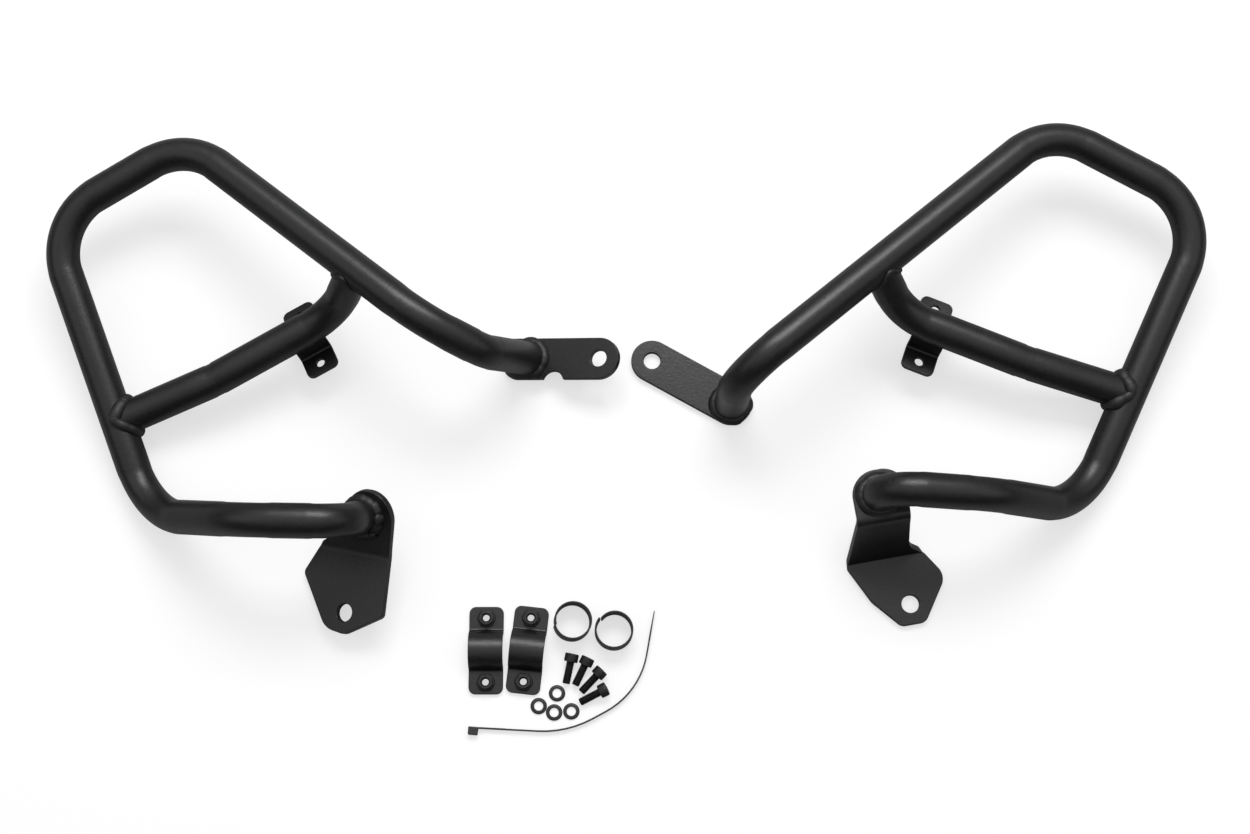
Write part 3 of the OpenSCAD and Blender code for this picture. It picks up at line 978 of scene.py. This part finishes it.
@dataclass
class CapScrew:
    """A socket head cap screw: knurled head up to z = 0, thread along +z.

    Attributes:
        size: diameter of the thread, and height of the head.
        length: length under the head.
        key: socket's width across flats.
        sides: facets round the head, two to a tooth of the knurl.
        knurl: depth of the knurl.
        depth: depth of the thread.
    """

    size: float = 6.0
    length: float = 16.0
    key: float = 5.0
    sides: int = 72
    knurl: float = 0.16
    depth: float = 0.5

    def mesh(self) -> BMesh:
        """Build the head from rings, the socket by extrusion and the thread by a climbing spin.

        Returns:
            The screw.
        """
        bm = bmesh.new()
        r, shank, top = self.size * 5 / 6, self.size / 2, -self.size
        lid = Matrix.Translation((0, 0, top))
        rim = bmesh.ops.create_circle(bm, cap_ends=False, segments=self.sides, radius=r - 0.75,
                                      matrix=lid)["verts"]
        socket = bmesh.ops.create_circle(bm, cap_ends=False, segments=6, radius=self.key / math.sqrt(3),
                                         matrix=lid)["verts"]
        edges, mouth = ring_edges(rim), ring_edges(socket)
        bmesh.ops.triangle_fill(bm, edges=edges + mouth, use_beauty=True)
        floor = new_verts(bmesh.ops.extrude_edge_only(bm, edges=mouth), "geom")
        bmesh.ops.translate(bm, verts=floor, vec=(0, 0, self.size / 2))
        bmesh.ops.holes_fill(bm, edges=ring_edges(floor), sides=0)
        # each ring of the head's side: radius, height and depth of its knurl
        rings = [(r - 0.2, top + 0.15, 0), (r, top + 0.55, self.knurl), (r, -0.75, self.knurl),
                 (r - 0.12, -0.3, 0), (r - 0.45, 0, 0), (shank + 0.25, 0, 0), (shank - 0.3, 0.5, 0)]
        for radius, z, knurl in rings:
            made = new_verts(bmesh.ops.extrude_edge_only(bm, edges=edges), "geom")
            for v in made:
                turn = math.atan2(v.co.y, v.co.x)
                far = radius - (knurl if round(turn / (2 * math.pi) * self.sides) % 2 else 0.0)
                v.co = Vector((far * math.cos(turn), far * math.sin(turn), z))
            edges = ring_edges(made)
        bmesh.ops.holes_fill(bm, edges=edges, sides=0)
        self.thread(bm)
        return bm

    def thread(self, bm: BMesh) -> None:
        """Wind the thread on: one pitch's profile spun up the shank, cut square and pointed.

        Args:
            bm: the screw, which gets the thread.
        """
        root, crest, taper = self.size / 2 - self.depth, self.size / 2 - 0.06, 0.86
        part = bmesh.new()
        wind(part, [(root, -0.5), (crest, -0.08), (crest, 0.06), (root, 0.5)], False, int(self.length) + 1, 28)
        bmesh.ops.remove_doubles(part, verts=part.verts, dist=0.02)
        for z, way in ((0.4, -1), (self.length - 0.5, 1)):
            bmesh.ops.bisect_plane(part, geom=everything(part), dist=1e-4, plane_co=(0, 0, z),
                                   plane_no=(0, 0, way), clear_outer=True)
        tip = [e for e in part.edges if e.is_boundary and e.verts[0].co.z > self.length - 1]
        for v in new_verts(bmesh.ops.extrude_edge_only(part, edges=tip), "geom"):
            v.co = Vector((v.co.x * taper, v.co.y * taper, self.length))
        bmesh.ops.holes_fill(part, edges=[e for e in part.edges if e.is_boundary], sides=0)
        mesh = bpy.data.meshes.new("thread")
        part.to_mesh(mesh)
        part.free()
        bm.from_mesh(mesh)
        bpy.data.meshes.remove(mesh)


@dataclass
class Nut:
    """A hexagon nut standing on z = 0, its top corners turned off, its bore threaded.

    Attributes:
        size: diameter of the thread.
        flats: width across flats.
        height: the nut's height.
        sides: facets round it.
        chamfer: of the bore's mouth.
        slope: fall of the turned top, in mm for each mm outwards.
    """

    size: float = 6.0
    flats: float = 10.0
    height: float = 5.0
    sides: int = 72
    chamfer: float = 0.45
    slope: float = 0.58

    def mesh(self) -> BMesh:
        """Build a hexagon ring that rises to a round top, and a climbing thread in its bore.

        Returns:
            The nut.
        """
        bm = bmesh.new()
        count, bore = self.sides, self.size / 2 - 0.02
        land, mouth = self.flats / 2 - 0.25, self.height - self.chamfer
        turns = [2 * math.pi * k / count for k in range(count)]
        far = [self.flats / 2 / math.cos((t + math.pi / 6) % (math.pi / 3) - math.pi / 6) for t in turns]
        top = [self.height - (r - land) * self.slope for r in far]
        rings = [([bore + self.chamfer] * count, [self.height] * count), ([land] * count, [self.height] * count),
                 (far, top), (far, [0.0] * count), ([bore] * count, [0.0] * count)]
        ring = [bm.verts.new((math.cos(t) * bore, math.sin(t) * bore, mouth)) for t in turns]
        edges = [bm.edges.new((ring[k - 1], ring[k])) for k in range(count)]
        first = list(edges)
        for radii, heights in rings:
            made = new_verts(bmesh.ops.extrude_edge_only(bm, edges=edges), "geom")
            for v in made:
                k = round(math.atan2(v.co.y, v.co.x) / (2 * math.pi) * count) % count
                v.co = Vector((math.cos(turns[k]) * radii[k], math.sin(turns[k]) * radii[k], heights[k]))
            edges = ring_edges(made)
        bmesh.ops.bridge_loops(bm, edges=edges + first)
        root, crest = self.size / 2 + 0.03, self.size / 2 - 0.5
        wind(bm, [(root, 0.0), (crest, 0.34), (crest, 0.46), (root, 0.8)], True, int(self.height) - 1, 32)
        bmesh.ops.holes_fill(bm, edges=[e for e in bm.edges if e.is_boundary], sides=0)
        return bm


@dataclass
class Sleeve:
    """A rolled strip, round but for its slit.

    Attributes:
        at: its centre on the floor plan, in mm.
        slit: where round it the slit is, in degrees.
        overlap: how far one end stands outside the other, in mm.
        lean: how far its top leans to the right, in mm.
        radius: outside radius.
        wall: thickness of the strip.
        height: width of the strip.
        chamfer: of the strip's edges.
        gap: width of the slit, in degrees.
    """

    at: Spot
    slit: float
    overlap: float
    lean: float
    radius: float = 14.0
    wall: float = 1.4
    height: float = 16.0
    chamfer: float = 0.3
    gap: float = 3.0

    def mesh(self) -> BMesh:
        """Roll the sleeve.

        Returns:
            The sleeve, standing on the floor at its place.
        """
        out, inn, h, c = self.radius, self.radius - self.wall, self.height, self.chamfer
        profile = [(inn, c), (inn + c, 0), (out - c, 0), (out, c), (out, h - c), (out - c, h), (inn + c, h),
                   (inn, h - c)]
        bm = lathe(profile, 360 - self.gap, 96)
        for v in bm.verts:
            turn = math.atan2(v.co.y, v.co.x) % (2 * math.pi)
            far = math.hypot(v.co.x, v.co.y) - self.overlap * (turn / (2 * math.pi)) ** 6
            v.co.x, v.co.y = far * math.cos(turn), far * math.sin(turn)
        place = placed((*self.at, 0), (0, 0, self.slit + self.gap / 2))
        bmesh.ops.transform(bm, matrix=place, verts=bm.verts)
        for v in bm.verts:
            v.co.x += self.lean * (v.co.z / self.height - 0.5)
        return bm


@dataclass
class CableTie:
    """A cable tie on its edge: toothed strap in easy bends and its locking head.

    Attributes:
        path: corners of the strap's middle line on the floor plan, in mm, from head to tip.
        radii: radius of each bend.
        width: width of the strap, which stands on its edge.
        thick: its thickness.
        pitch: half the distance from tooth to tooth.
        tooth: depth of a tooth.
        plain: lengths without teeth at the head and at the tip.
        taper: length over which the tip thins to half.
        head_at: corner of the head on the floor plan.
    """

    path: tuple[Spot, ...] = ((-106.0, -229.6), (-41.8, -232.9), (10.8, -204.5), (21.4, -144.9))
    radii: tuple[float, ...] = (75.0, 58.0)
    width: float = 3.6
    thick: float = 1.2
    pitch: float = 0.6
    tooth: float = 0.22
    plain: Spot = (20, 22)
    taper: float = 16
    head_at: Spot = (-113.2, -234.9)

    def strap(self) -> BMesh:
        """Cut the strap: one side smooth, the other with fine teeth, tapering to its tip.

        Returns:
            The strap in its place.
        """
        line = FoldLine(list(self.path), list(self.radii))
        total = line.samples[-1][0]
        count = int(total / self.pitch)
        smooth, toothed = [], []
        for k in range(count + 1):
            s = total * k / count
            p, n = line.spot(s), line.normal(s)
            half = self.thick / 2 * (0.5 + 0.5 * min(1.0, (total - s) / self.taper))
            tooth = self.tooth if k % 2 and self.plain[0] < s < total - self.plain[1] else 0.0
            smooth.append(Vector((p.x, p.y, 0)) - n * half)
            toothed.append(Vector((p.x, p.y, 0)) + n * (half - tooth))
        bm = Sheet(smooth + toothed[::-1], [], self.width, edge=0.12).mesh()
        bmesh.ops.translate(bm, verts=bm.verts, vec=(0, 0, self.width / 2))
        return bm

    def head(self) -> BMesh:
        """Build the locking head, a rounded block.

        Returns:
            The head in its place.
        """
        height = self.width + 1.2
        outline = rounded([(0, 0.5), (6.9, 0), (7.5, 5.8), (0.3, 6.4)], [0.8] * 4)
        bm = Sheet(outline, [], height, edge=0.5).mesh()
        bmesh.ops.translate(bm, verts=bm.verts, vec=(*self.head_at, height / 2))
        return bm


@dataclass
class Bar:
    """One bent-tube bar: main tube, cross tube, plate, bracket, saddle and their welds.

    Attributes:
        side: which bar of the pair.
        main: corners of the main tube.
        main_radii: its bends.
        cross: corners of the cross tube.
        cross_radii: its bends.
        outer: the two main corners that the cross tube starts between.
        inner: the two main corners that it ends between.
        plate: frame of the upper plate, its z axis the face's normal.
        plate_sheet: the upper plate, flat.
        bracket: frame of the lower bracket.
        bracket_sheet: the lower bracket, folded.
        flange: frame of the bracket's flange, its z axis the face's normal.
        saddle_run: how far along the cross tube's middle run the saddle hangs.
        saddle_roll: how far it is rolled about its channel, in degrees.
        seed: seed of its welds' unevenness.
        lumps: where round a seam, from 0 to 1, lumps of weld metal sit.
    """

    side: Side
    main: list[Place]
    main_radii: list[float]
    cross: list[Place]
    cross_radii: list[float]
    outer: tuple[int, int]
    inner: tuple[int, int]
    plate: Matrix
    plate_sheet: Sheet
    bracket: Matrix
    bracket_sheet: Sheet
    flange: Matrix
    saddle_run: float
    saddle_roll: float
    seed: int
    lumps: dict[str, tuple[float, ...]] = field(default_factory=dict)

    def node(self, name: str) -> str:
        """Return the full name of one of this bar's nodes."""
        return f"{self.side.value}_{name}"

    def build(self, shop: Workshop) -> None:
        """Build and dress the whole bar.

        Args:
            shop: where the pieces are finished.
        """
        self.main_tube(shop)
        self.cross_tube(shop)
        self.welds(shop)
        self.saddle_seams(shop)
        sheets = {
            "upper_plate": (self.plate_sheet, self.plate @ placed((0, 0, -SHEET_T / 2))),
            "lower_bracket": (self.bracket_sheet, self.bracket),
            "saddle": (Saddle(), self.under_cross() @ turned((self.saddle_roll, 0, 0))),
        }
        for name, (sheet, place) in sheets.items():
            shop.piece(sheet.mesh(), self.node(f"{name}_sheet"), Slot.POWDER_COAT, place, (self.node(name),),
                       smooth=30, flats=True)

    def under_cross(self) -> Matrix:
        """Hang a saddle under the cross tube's middle run.

        Returns:
            Its frame, before it is rolled.
        """
        a, b = vectors(self.cross[1:3])
        d = unit(b - a)
        lean, turn = math.degrees(math.acos(d.z)), math.degrees(math.atan2(d.y, d.x))
        drop = TUBE_R + Saddle.crown
        return placed(a, (0, lean, turn)) @ placed((drop, 0, self.saddle_run)) @ turned((0, -90, 0))

    def foot(self) -> Vector:
        """Find where the main tube's axis meets the bracket's flange.

        Returns:
            The point.
        """
        before, end = vectors(self.main[-2:])
        normal, way = self.flange.col[2].to_3d(), unit(end - before)
        return end + way * ((self.flange.translation - end).dot(normal) / way.dot(normal))

    def main_tube(self, shop: Workshop) -> None:
        """Sweep the main tube, longer than it is, and cut both ends on their plates.

        Args:
            shop: where the pieces are finished.
        """
        spare, upper_reach, lower_reach = 12, 40, 36
        corners = vectors(self.main)
        corners[0] -= unit(corners[1] - corners[0]) * spare
        corners[-1] += unit(corners[-1] - corners[-2]) * spare
        tube = BentTube(corners, self.main_radii)
        bm = tube.mesh()
        tube.cut(bm, self.plate.translation, -self.plate.col[2].to_3d(), upper_reach)
        tube.cut(bm, self.foot(), -self.flange.col[2].to_3d(), lower_reach)
        shop.piece(bm, self.node("main_tube_skin"), Slot.POWDER_COAT, Matrix(), (self.node("main_tube"),), 60)

    def cross_tube(self, shop: Workshop) -> None:
        """Sweep the cross tube and cope both ends to the main tube.

        Args:
            shop: where the pieces are finished.
        """
        main = vectors(self.main)
        tube = BentTube(vectors(self.cross), self.cross_radii)
        bm = tube.mesh()
        tube.cope(bm, True, main[self.outer[0]], main[self.outer[1]])
        tube.cope(bm, False, main[self.inner[0]], main[self.inner[1]])
        shop.piece(bm, self.node("cross_tube_skin"), Slot.POWDER_COAT, Matrix(), (self.node("cross_tube"),), 60)

    def welds(self, shop: Workshop) -> None:
        """Lay the beads of both seats and both copes, with their lumps.

        Args:
            shop: where the pieces are finished.
        """
        main, cross = vectors(self.main), vectors(self.cross)
        seams = {
            "upper_weld": seat_seam(main[0], main[1], self.plate.translation, self.plate.col[2].to_3d()),
            "lower_weld": seat_seam(main[-1], main[-2], self.foot(), self.flange.col[2].to_3d()),
            "cross_outer_weld": cope_seam(cross[0], cross[1], main[self.outer[0]], main[self.outer[1]]),
            "cross_inner_weld": cope_seam(cross[-1], cross[-2], main[self.inner[0]], main[self.inner[1]]),
        }
        for k, (name, (seam, out)) in enumerate(seams.items()):
            size, pitch, lumps = BEADS[name]
            bead = Bead(seam, out, size, pitch, lumps, seed=self.seed * 10 + k)
            shop.piece(bead.mesh(), self.node(f"{name}_bead"), Slot.WELDS, Matrix(), (self.node(name),), 80)
            for j, share in enumerate(self.lumps.get(name, ())):
                i = int(share * len(seam))
                lump = WeldLump(seam[i], out[i], seed=self.seed * 100 + k * 10 + j)
                shop.piece(lump.mesh(), self.node(f"{name}_lump_{j + 1}"), Slot.WELDS, Matrix(),
                           (self.node(name),), 80)

    def saddle_seams(self, shop: Workshop) -> None:
        """Lay the two short beads between the cross tube and the saddle's crown.

        Args:
            shop: where the pieces are finished.
        """
        half_length, off_middle, sunk = 10.5, 6.3, 0.15
        hang = self.under_cross()
        for tag, way in (("a", 1), ("b", -1)):
            steps = round(half_length * 4)
            seam = [hang @ Vector((x / 4, way * off_middle, Saddle.crown - sunk)) for x in range(-steps, steps + 1)]
            out = [hang.to_3x3() @ Vector((0, way, 0))] * len(seam)
            bead = Bead(seam, out, 2.2, 3.0, lumps=0.1, seed=self.seed + way, closed=False, sides=12)
            shop.piece(bead.mesh(), self.node(f"saddle_weld_bead_{tag}"), Slot.WELDS, Matrix(),
                       (self.node("saddle_weld"),), 80)


@dataclass
class FittingKit:
    """The loose pieces below the bars, in mm on the floor plan.

    Attributes:
        clamps: frames of the clamp halves.
        screws: place and turn of each screw.
        washers: place of each washer.
        sleeves: the two sleeves.
    """

    clamps: tuple[Matrix, ...] = (placed((-100.8, -173.8, 3)), placed((-70.9, -173.6, 3), (0, 0, -6.3)))
    screws: tuple[Place, ...] = ((-39.4, -182.3, -102), (-29.1, -184.7, -116), (-20.6, -192.4, -134),
                                 (-18.3, -204.1, -153))
    washers: tuple[Spot, ...] = ((-49.2, -204.6), (-51.2, -218.4), (-38.8, -217.6), (-62.4, -213.8))
    sleeves: tuple[Sleeve, ...] = (Sleeve((-38.2, -153.3), 193, 0.9, 1.1), Sleeve((-8.0, -159.8), 140, 1.3, 0.3))

    def build(self, shop: Workshop) -> None:
        """Build every loose piece.

        Args:
            shop: where the pieces are finished.
        """
        for k, place in enumerate(self.clamps, 1):
            self.clamp(shop, k, place)
        for k, sleeve in enumerate(self.sleeves, 1):
            shop.piece(sleeve.mesh(), f"sleeve_{k}_strip", Slot.SLEEVES, Matrix(), (f"sleeve_{k}",), flats=True)
        for k, (x, y, turn) in enumerate(self.screws, 1):
            shop.piece(CapScrew().mesh(), f"cap_screw_{k}", Slot.SCREWS, self.lying(x, y, turn),
                       ("cap_screws",), smooth=24)
        for k, (x, y) in enumerate(self.washers, 1):
            shop.piece(self.washer(), f"washer_{k}", Slot.WASHERS, placed((x, y, 0)), ("washers",), 50, True)
        tie = CableTie()
        for name, bm in (("strap", tie.strap()), ("head", tie.head())):
            shop.piece(bm, f"cable_tie_{name}", Slot.TIE, Matrix(), ("cable_tie",), smooth=30, flats=True)

    def clamp(self, shop: Workshop, k: int, place: Matrix) -> None:
        """Build a clamp half with a nut and its seam on each ear.

        Args:
            shop: where the pieces are finished.
            k: number of the clamp half.
            place: its frame.
        """
        shop.piece(Saddle().mesh(), f"clamp_{k}_sheet", Slot.POWDER_COAT, place, (f"clamp_{k}",), 30, True)
        for tag, y in (("a", Saddle.pitch / 2), ("b", -Saddle.pitch / 2)):
            ear = place @ placed((0, y, 0))
            shop.piece(self.nut_seam(k), f"clamp_{k}_nut_seam_{tag}", Slot.WELDS, ear, (), smooth=80)
            shop.piece(Nut().mesh(), f"clamp_{k}_nut_{tag}", Slot.NUTS, ear, ("clamp_nuts",), smooth=28)

    @staticmethod
    def lying(x: float, y: float, turn: float) -> Matrix:
        """Return the frame of a screw that lies on its head's rim and its tip.

        Args:
            x: place of the head.
            y: place of the head.
            turn: the way the screw points, in degrees.

        Returns:
            The frame.
        """
        head, shank = CapScrew.size * 5 / 6, CapScrew.size / 2
        lean = math.degrees(math.atan((head - shank) / CapScrew.length))
        return placed((x, y, head * math.cos(math.radians(lean))), (0, 90 + lean, turn))

    @staticmethod
    def washer() -> BMesh:
        """Turn a plain washer with softened edges."""
        return lathe([(3.3, 0.15), (3.45, 0), (5.7, 0), (5.95, 0.2), (6.0, 0.5), (5.9, 1.15), (5.45, 1.55),
                      (3.75, 1.6), (3.4, 1.45), (3.3, 1.2)])

    @staticmethod
    def nut_seam(seed: int) -> BMesh:
        """Lay the small seam that holds a nut to its ear, wider at the nut's corners.

        Args:
            seed: seed of the bead's unevenness.

        Returns:
            The bead.
        """
        radius, swing, lift, count = 5.55, 0.25, 0.15, 72
        turns = [2 * math.pi * k / count for k in range(count)]
        round_nut = [Vector((math.cos(t), math.sin(t), 0)) for t in turns]
        seam = [p * (radius + swing * math.cos(6 * t)) + Vector((0, 0, lift)) for p, t in zip(round_nut, turns)]
        return Bead(seam, [p + Vector((0, 0, 1)) for p in round_nut], 1.15, 2.2, seed=seed, sides=10).mesh()


@dataclass
class Studio:
    """Pale floor, soft light from the top of the picture and the photograph's camera.

    Attributes:
        camera_height: in m.
        camera_tip: the camera's lean from straight down, in degrees.
        lens: focal length for a 36 mm sensor.
        floor_reach: half the floor's width, in m.
        floor_at: its height, just under the set, in m.
        floor_tone: the floor's colour in bounced light.
        floor_seen: its colour to the camera.
        floor_glow: light added for the camera, so that the floor looks white.
        sky_lean: the brightest sky's lean to the picture's top, in degrees.
        sky_stops: how far up the sky its darkest and lightest tones are, 0 at the horizon.
        sky_tones: those tones.
        lamps: name, place, size and power of each lamp, in m and W.
    """

    camera_height: float = 1.6
    camera_tip: float = 12.0
    lens: float = 63.36
    floor_reach: float = 6.0
    floor_at: float = -0.0002
    floor_tone: float = 0.42
    floor_seen: float = 0.4
    floor_glow: float = 0.63
    sky_lean: float = 20.0
    sky_stops: Spot = (0.3, 1.0)
    sky_tones: Spot = (0.06, 0.95)
    lamps: tuple[tuple[str, Place, Spot, float], ...] = (
        ("key", (0.1, 1.18, 1.75), (1.4, 0.7), 27.0),
        ("fill_left", (-1.9, -0.1, 1.3), (1.2, 1.2), 2.5),
        ("fill_right", (1.9, -0.1, 1.3), (1.2, 1.2), 2.5),
    )

    def build(self) -> None:
        """Set up floor, lights, world and camera."""
        self.floor()
        self.world()
        for name, at, size, watts in self.lamps:
            self.lamp(name, at, size, watts)
        self.camera()
        LOG.info("studio ready")

    def floor(self) -> None:
        """Lay the floor, which looks white to the camera and keeps shadows."""
        bm = bmesh.new()
        bmesh.ops.create_grid(bm, x_segments=1, y_segments=1, size=self.floor_reach)
        mesh = bpy.data.meshes.new("floor")
        bm.to_mesh(mesh)
        bm.free()
        obj = bpy.data.objects.new("floor", mesh)
        obj.location.z = self.floor_at
        bpy.context.scene.collection.objects.link(obj)
        mesh.materials.append(self.floor_paint())

    def floor_paint(self) -> bpy.types.Material:
        """Mix the floor's paint, with a glow that only the camera sees.

        Returns:
            The material.
        """
        mat = bpy.data.materials.new("floor")
        mat.use_nodes = True
        tree = mat.node_tree
        shader = tree.nodes["Principled BSDF"]
        shader.inputs["Roughness"].default_value = 0.9
        shader.inputs["Specular IOR Level"].default_value = 0.1
        tone = tree.nodes.new("ShaderNodeMix")
        tone.data_type = "RGBA"
        tone.inputs["A"].default_value = (*[self.floor_tone] * 3, 1)
        tone.inputs["B"].default_value = (*[self.floor_seen] * 3, 1)
        glow = tree.nodes.new("ShaderNodeEmission")
        path = tree.nodes.new("ShaderNodeLightPath")
        level = tree.nodes.new("ShaderNodeMath")
        level.operation = "MULTIPLY"
        level.inputs[1].default_value = self.floor_glow
        add = tree.nodes.new("ShaderNodeAddShader")
        tree.links.new(path.outputs["Is Camera Ray"], level.inputs[0])
        tree.links.new(path.outputs["Is Camera Ray"], tone.inputs["Factor"])
        tree.links.new(tone.outputs["Result"], shader.inputs["Base Color"])
        tree.links.new(level.outputs["Value"], glow.inputs["Strength"])
        tree.links.new(shader.outputs["BSDF"], add.inputs[0])
        tree.links.new(glow.outputs["Emission"], add.inputs[1])
        tree.links.new(add.outputs["Shader"], tree.nodes["Material Output"].inputs["Surface"])
        return mat

    def world(self) -> None:
        """Light the scene softly from above and from the picture's top, white to the camera."""
        world = bpy.data.worlds.new("studio")
        world.use_nodes = True
        tree = world.node_tree
        back = tree.nodes["Background"]
        back.inputs["Color"].default_value = (1, 1, 1, 1)
        path = tree.nodes.new("ShaderNodeLightPath")
        level = tree.nodes.new("ShaderNodeMapRange")
        level.inputs["To Max"].default_value = 1.0
        tree.links.new(path.outputs["Is Camera Ray"], level.inputs["Value"])
        place = tree.nodes.new("ShaderNodeTexCoord")
        up = tree.nodes.new("ShaderNodeVectorMath")
        up.operation = "DOT_PRODUCT"
        lean = math.radians(self.sky_lean)
        up.inputs[1].default_value = (0.0, math.sin(lean), math.cos(lean))
        sky = tree.nodes.new("ShaderNodeValToRGB")
        for stop, at, tone in zip(sky.color_ramp.elements, self.sky_stops, self.sky_tones):
            stop.position = at
            stop.color = (tone, tone, tone, 1)
        tree.links.new(place.outputs["Generated"], up.inputs[0])
        tree.links.new(up.outputs["Value"], sky.inputs["Fac"])
        tree.links.new(sky.outputs["Color"], level.inputs["To Min"])
        tree.links.new(level.outputs["Result"], back.inputs["Strength"])
        bpy.context.scene.world = world

    def lamp(self, name: str, at: Place, size: Spot, watts: float) -> None:
        """Hang a soft rectangular lamp that points at the middle of the set.

        Args:
            name: the lamp's name.
            at: its place, in m.
            size: its width and height, in m.
            watts: its power.
        """
        data = bpy.data.lights.new(name, "AREA")
        data.shape = "RECTANGLE"
        data.size, data.size_y = size
        data.energy = watts
        obj = bpy.data.objects.new(name, data)
        obj.location = at
        obj.rotation_euler = (-Vector(at)).to_track_quat("-Z", "Y").to_euler()
        bpy.context.scene.collection.objects.link(obj)

    def camera(self) -> None:
        """Place the camera as the photograph's was."""
        data = bpy.data.cameras.new("camera")
        data.lens = self.lens
        data.sensor_width = 36.0
        data.clip_start = 0.01
        obj = bpy.data.objects.new("camera", data)
        tip = math.radians(self.camera_tip)
        back = -self.camera_height * math.tan(tip)
        obj.location = (SET_AT.x * MM, back + SET_AT.y * MM, self.camera_height)
        obj.rotation_euler = (tip, 0, 0)
        bpy.context.scene.collection.objects.link(obj)
        bpy.context.scene.camera = obj
        bpy.context.scene.view_settings.view_transform = "Standard"


def stadium_plate() -> Sheet:
    """Cut the right upper plate: a flat bar with round ends.

    Returns:
        The plate, flat.
    """
    half, reach = PLATE_HALF, 67
    ends = [(-half, -half), (reach + half, -half), (reach + half, half), (-half, half)]
    return Sheet(rounded(ends, [half - 0.01] * 4), [circle(reach, 0, PLATE_HOLE_R)])


def relieved_plate() -> Sheet:
    """Cut the left upper plate: one round end, and a half-round relief in its lower edge.

    Returns:
        The plate, flat.
    """
    half, reach, heel, heel_r = PLATE_HALF, 55, -20, 11
    relief, relief_x, steps = 8.5, 20, 18
    low = relief * 0.28
    ends = [(heel, -half), (reach + half, -half), (reach + half, half), (heel, half)]
    corners = rounded(ends, [heel_r, half - 0.01, half - 0.01, 3])
    start = math.degrees(math.asin(low / relief))
    turns = [math.radians(180 - start - (180 - 2 * start) * k / steps) for k in range(steps + 1)]
    notch = [Vector((relief_x + relief * math.cos(a), -half - low + relief * math.sin(a), 0)) for a in turns]
    first = arc_steps(heel_r) + 1
    return Sheet(corners[:first] + notch + corners[first:], [circle(reach, 0, PLATE_HOLE_R)])


def folded(points: list[Spot], radii: list[float], hole: Spot, line: FoldLine) -> Sheet:
    """Return a bracket cut to a plan outline and laid along a fold line.

    Args:
        points: corners of the outline, seen from above.
        radii: their radii.
        hole: centre of its bolt hole.
        line: the fold line.

    Returns:
        The folded sheet.
    """
    outline = [Vector((v.x, line.length_at(v.y), 0)) for v in rounded(points, radii)]
    bore = [Vector((v.x, line.length_at(v.y), 0)) for v in circle(*hole, BRACKET_HOLE_R)]
    return Sheet(outline, [bore], fold=line, edge=0.6)


def left_bar() -> Bar:
    """Size the left bar.

    Returns:
        The bar.
    """
    bracket = placed((-233, -116.6, 5.12), (8, -24, -14))
    line = FoldLine([(-60, -2.5), (21.554, -2.5), (75.38, 22.6)], [14.5])
    return Bar(
        side=Side.LEFT,
        main=[(-71.5, 42, 11.3), (-100, 30, 82), (-144, 48.5, 105), (-322, 193.4, 61.8), (-425.5, 137.5, 42),
              (-348, -75.5, 7.2), (-268, -91.5, 86), (-196.5, -93.5, 91), (-188.5, -82, 40.6)],
        main_radii=[24, 70, 50, 50, 50, 60, 26],
        cross=[(-372.8, -7.6, 18.2), (-300, 21, 32), (-212, 67.5, 45), (-192.1, 87.7, 93.4)],
        cross_radii=[60, 50],
        outer=(4, 5),
        inner=(2, 3),
        plate=placed((-71.5, 42, 11.3), (0, -19, -4.3)),
        plate_sheet=relieved_plate(),
        bracket=bracket,
        bracket_sheet=folded(
            [(-2, 0), (25, -37), (42, -39), (71, -21.5), (67, 22.5), (74, 66), (30.5, 66), (33.5, 39), (10, 25.5)],
            [5, 16, 9, 4, 36, 18, 18, 5, 3], (39, -23.4), line),
        flange=bracket @ placed((0, 21, 0)) @ turned((25, 0, 0)) @ placed((55, 30, 0)),
        saddle_run=72,
        saddle_roll=-20,
        seed=1,
        lumps={"lower_weld": (0.87, 0.79, 0.71)},
    )


def right_bar() -> Bar:
    """Size the right bar.

    Returns:
        The bar.
    """
    flange_z, half = 60, SHEET_T / 2
    bracket = placed((185.5, -73, 0), (0, 0, 10))
    line = FoldLine([(-90, half), (-32.5, half), (-13, flange_z - half), (26, flange_z - half)], [3.6, 4.6])
    return Bar(
        side=Side.RIGHT,
        main=[(78.5, 9, 5), (79.5, 8, 98), (314, 207, 55), (431.5, 147.5, 42), (334, -70, 7.7), (258, -72.5, 80),
              (180.5, -69.5, 94), (180.5, -69.5, 60)],
        main_radii=[34, 50, 50, 50, 60, 24],
        cross=[(371, 12.5, 20.3), (292.6, 32.6, 38), (202, 66.5, 46), (181.2, 94.6, 79.3)],
        cross_radii=[60, 50],
        outer=(3, 4),
        inner=(1, 2),
        plate=placed((78.5, 9, 5), (0, 0, 150.6)),
        plate_sheet=stadium_plate(),
        bracket=bracket,
        bracket_sheet=folded(
            [(-23, -10), (-30, -37), (-17, -64), (1, -85), (19, -85), (40, -54), (26, -32), (16, -28), (15, -15),
             (18, 23), (-22.5, 23)],
            [20, 4, 14, 7, 7, 12, 8, 6, 12, 17, 18], (10.4, -70), line),
        flange=bracket @ placed((0, 0, flange_z)),
        saddle_run=71,
        saddle_roll=14,
        seed=2,
    )


def main() -> None:
    """Build the set piece by piece, then the studio round it."""
    logging.basicConfig(level=logging.INFO)
    shop = Workshop()
    for part in (left_bar(), right_bar(), FittingKit()):
        part.build(shop)
    Studio().build()
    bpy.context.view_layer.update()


if __name__ == "__main__":
    main()
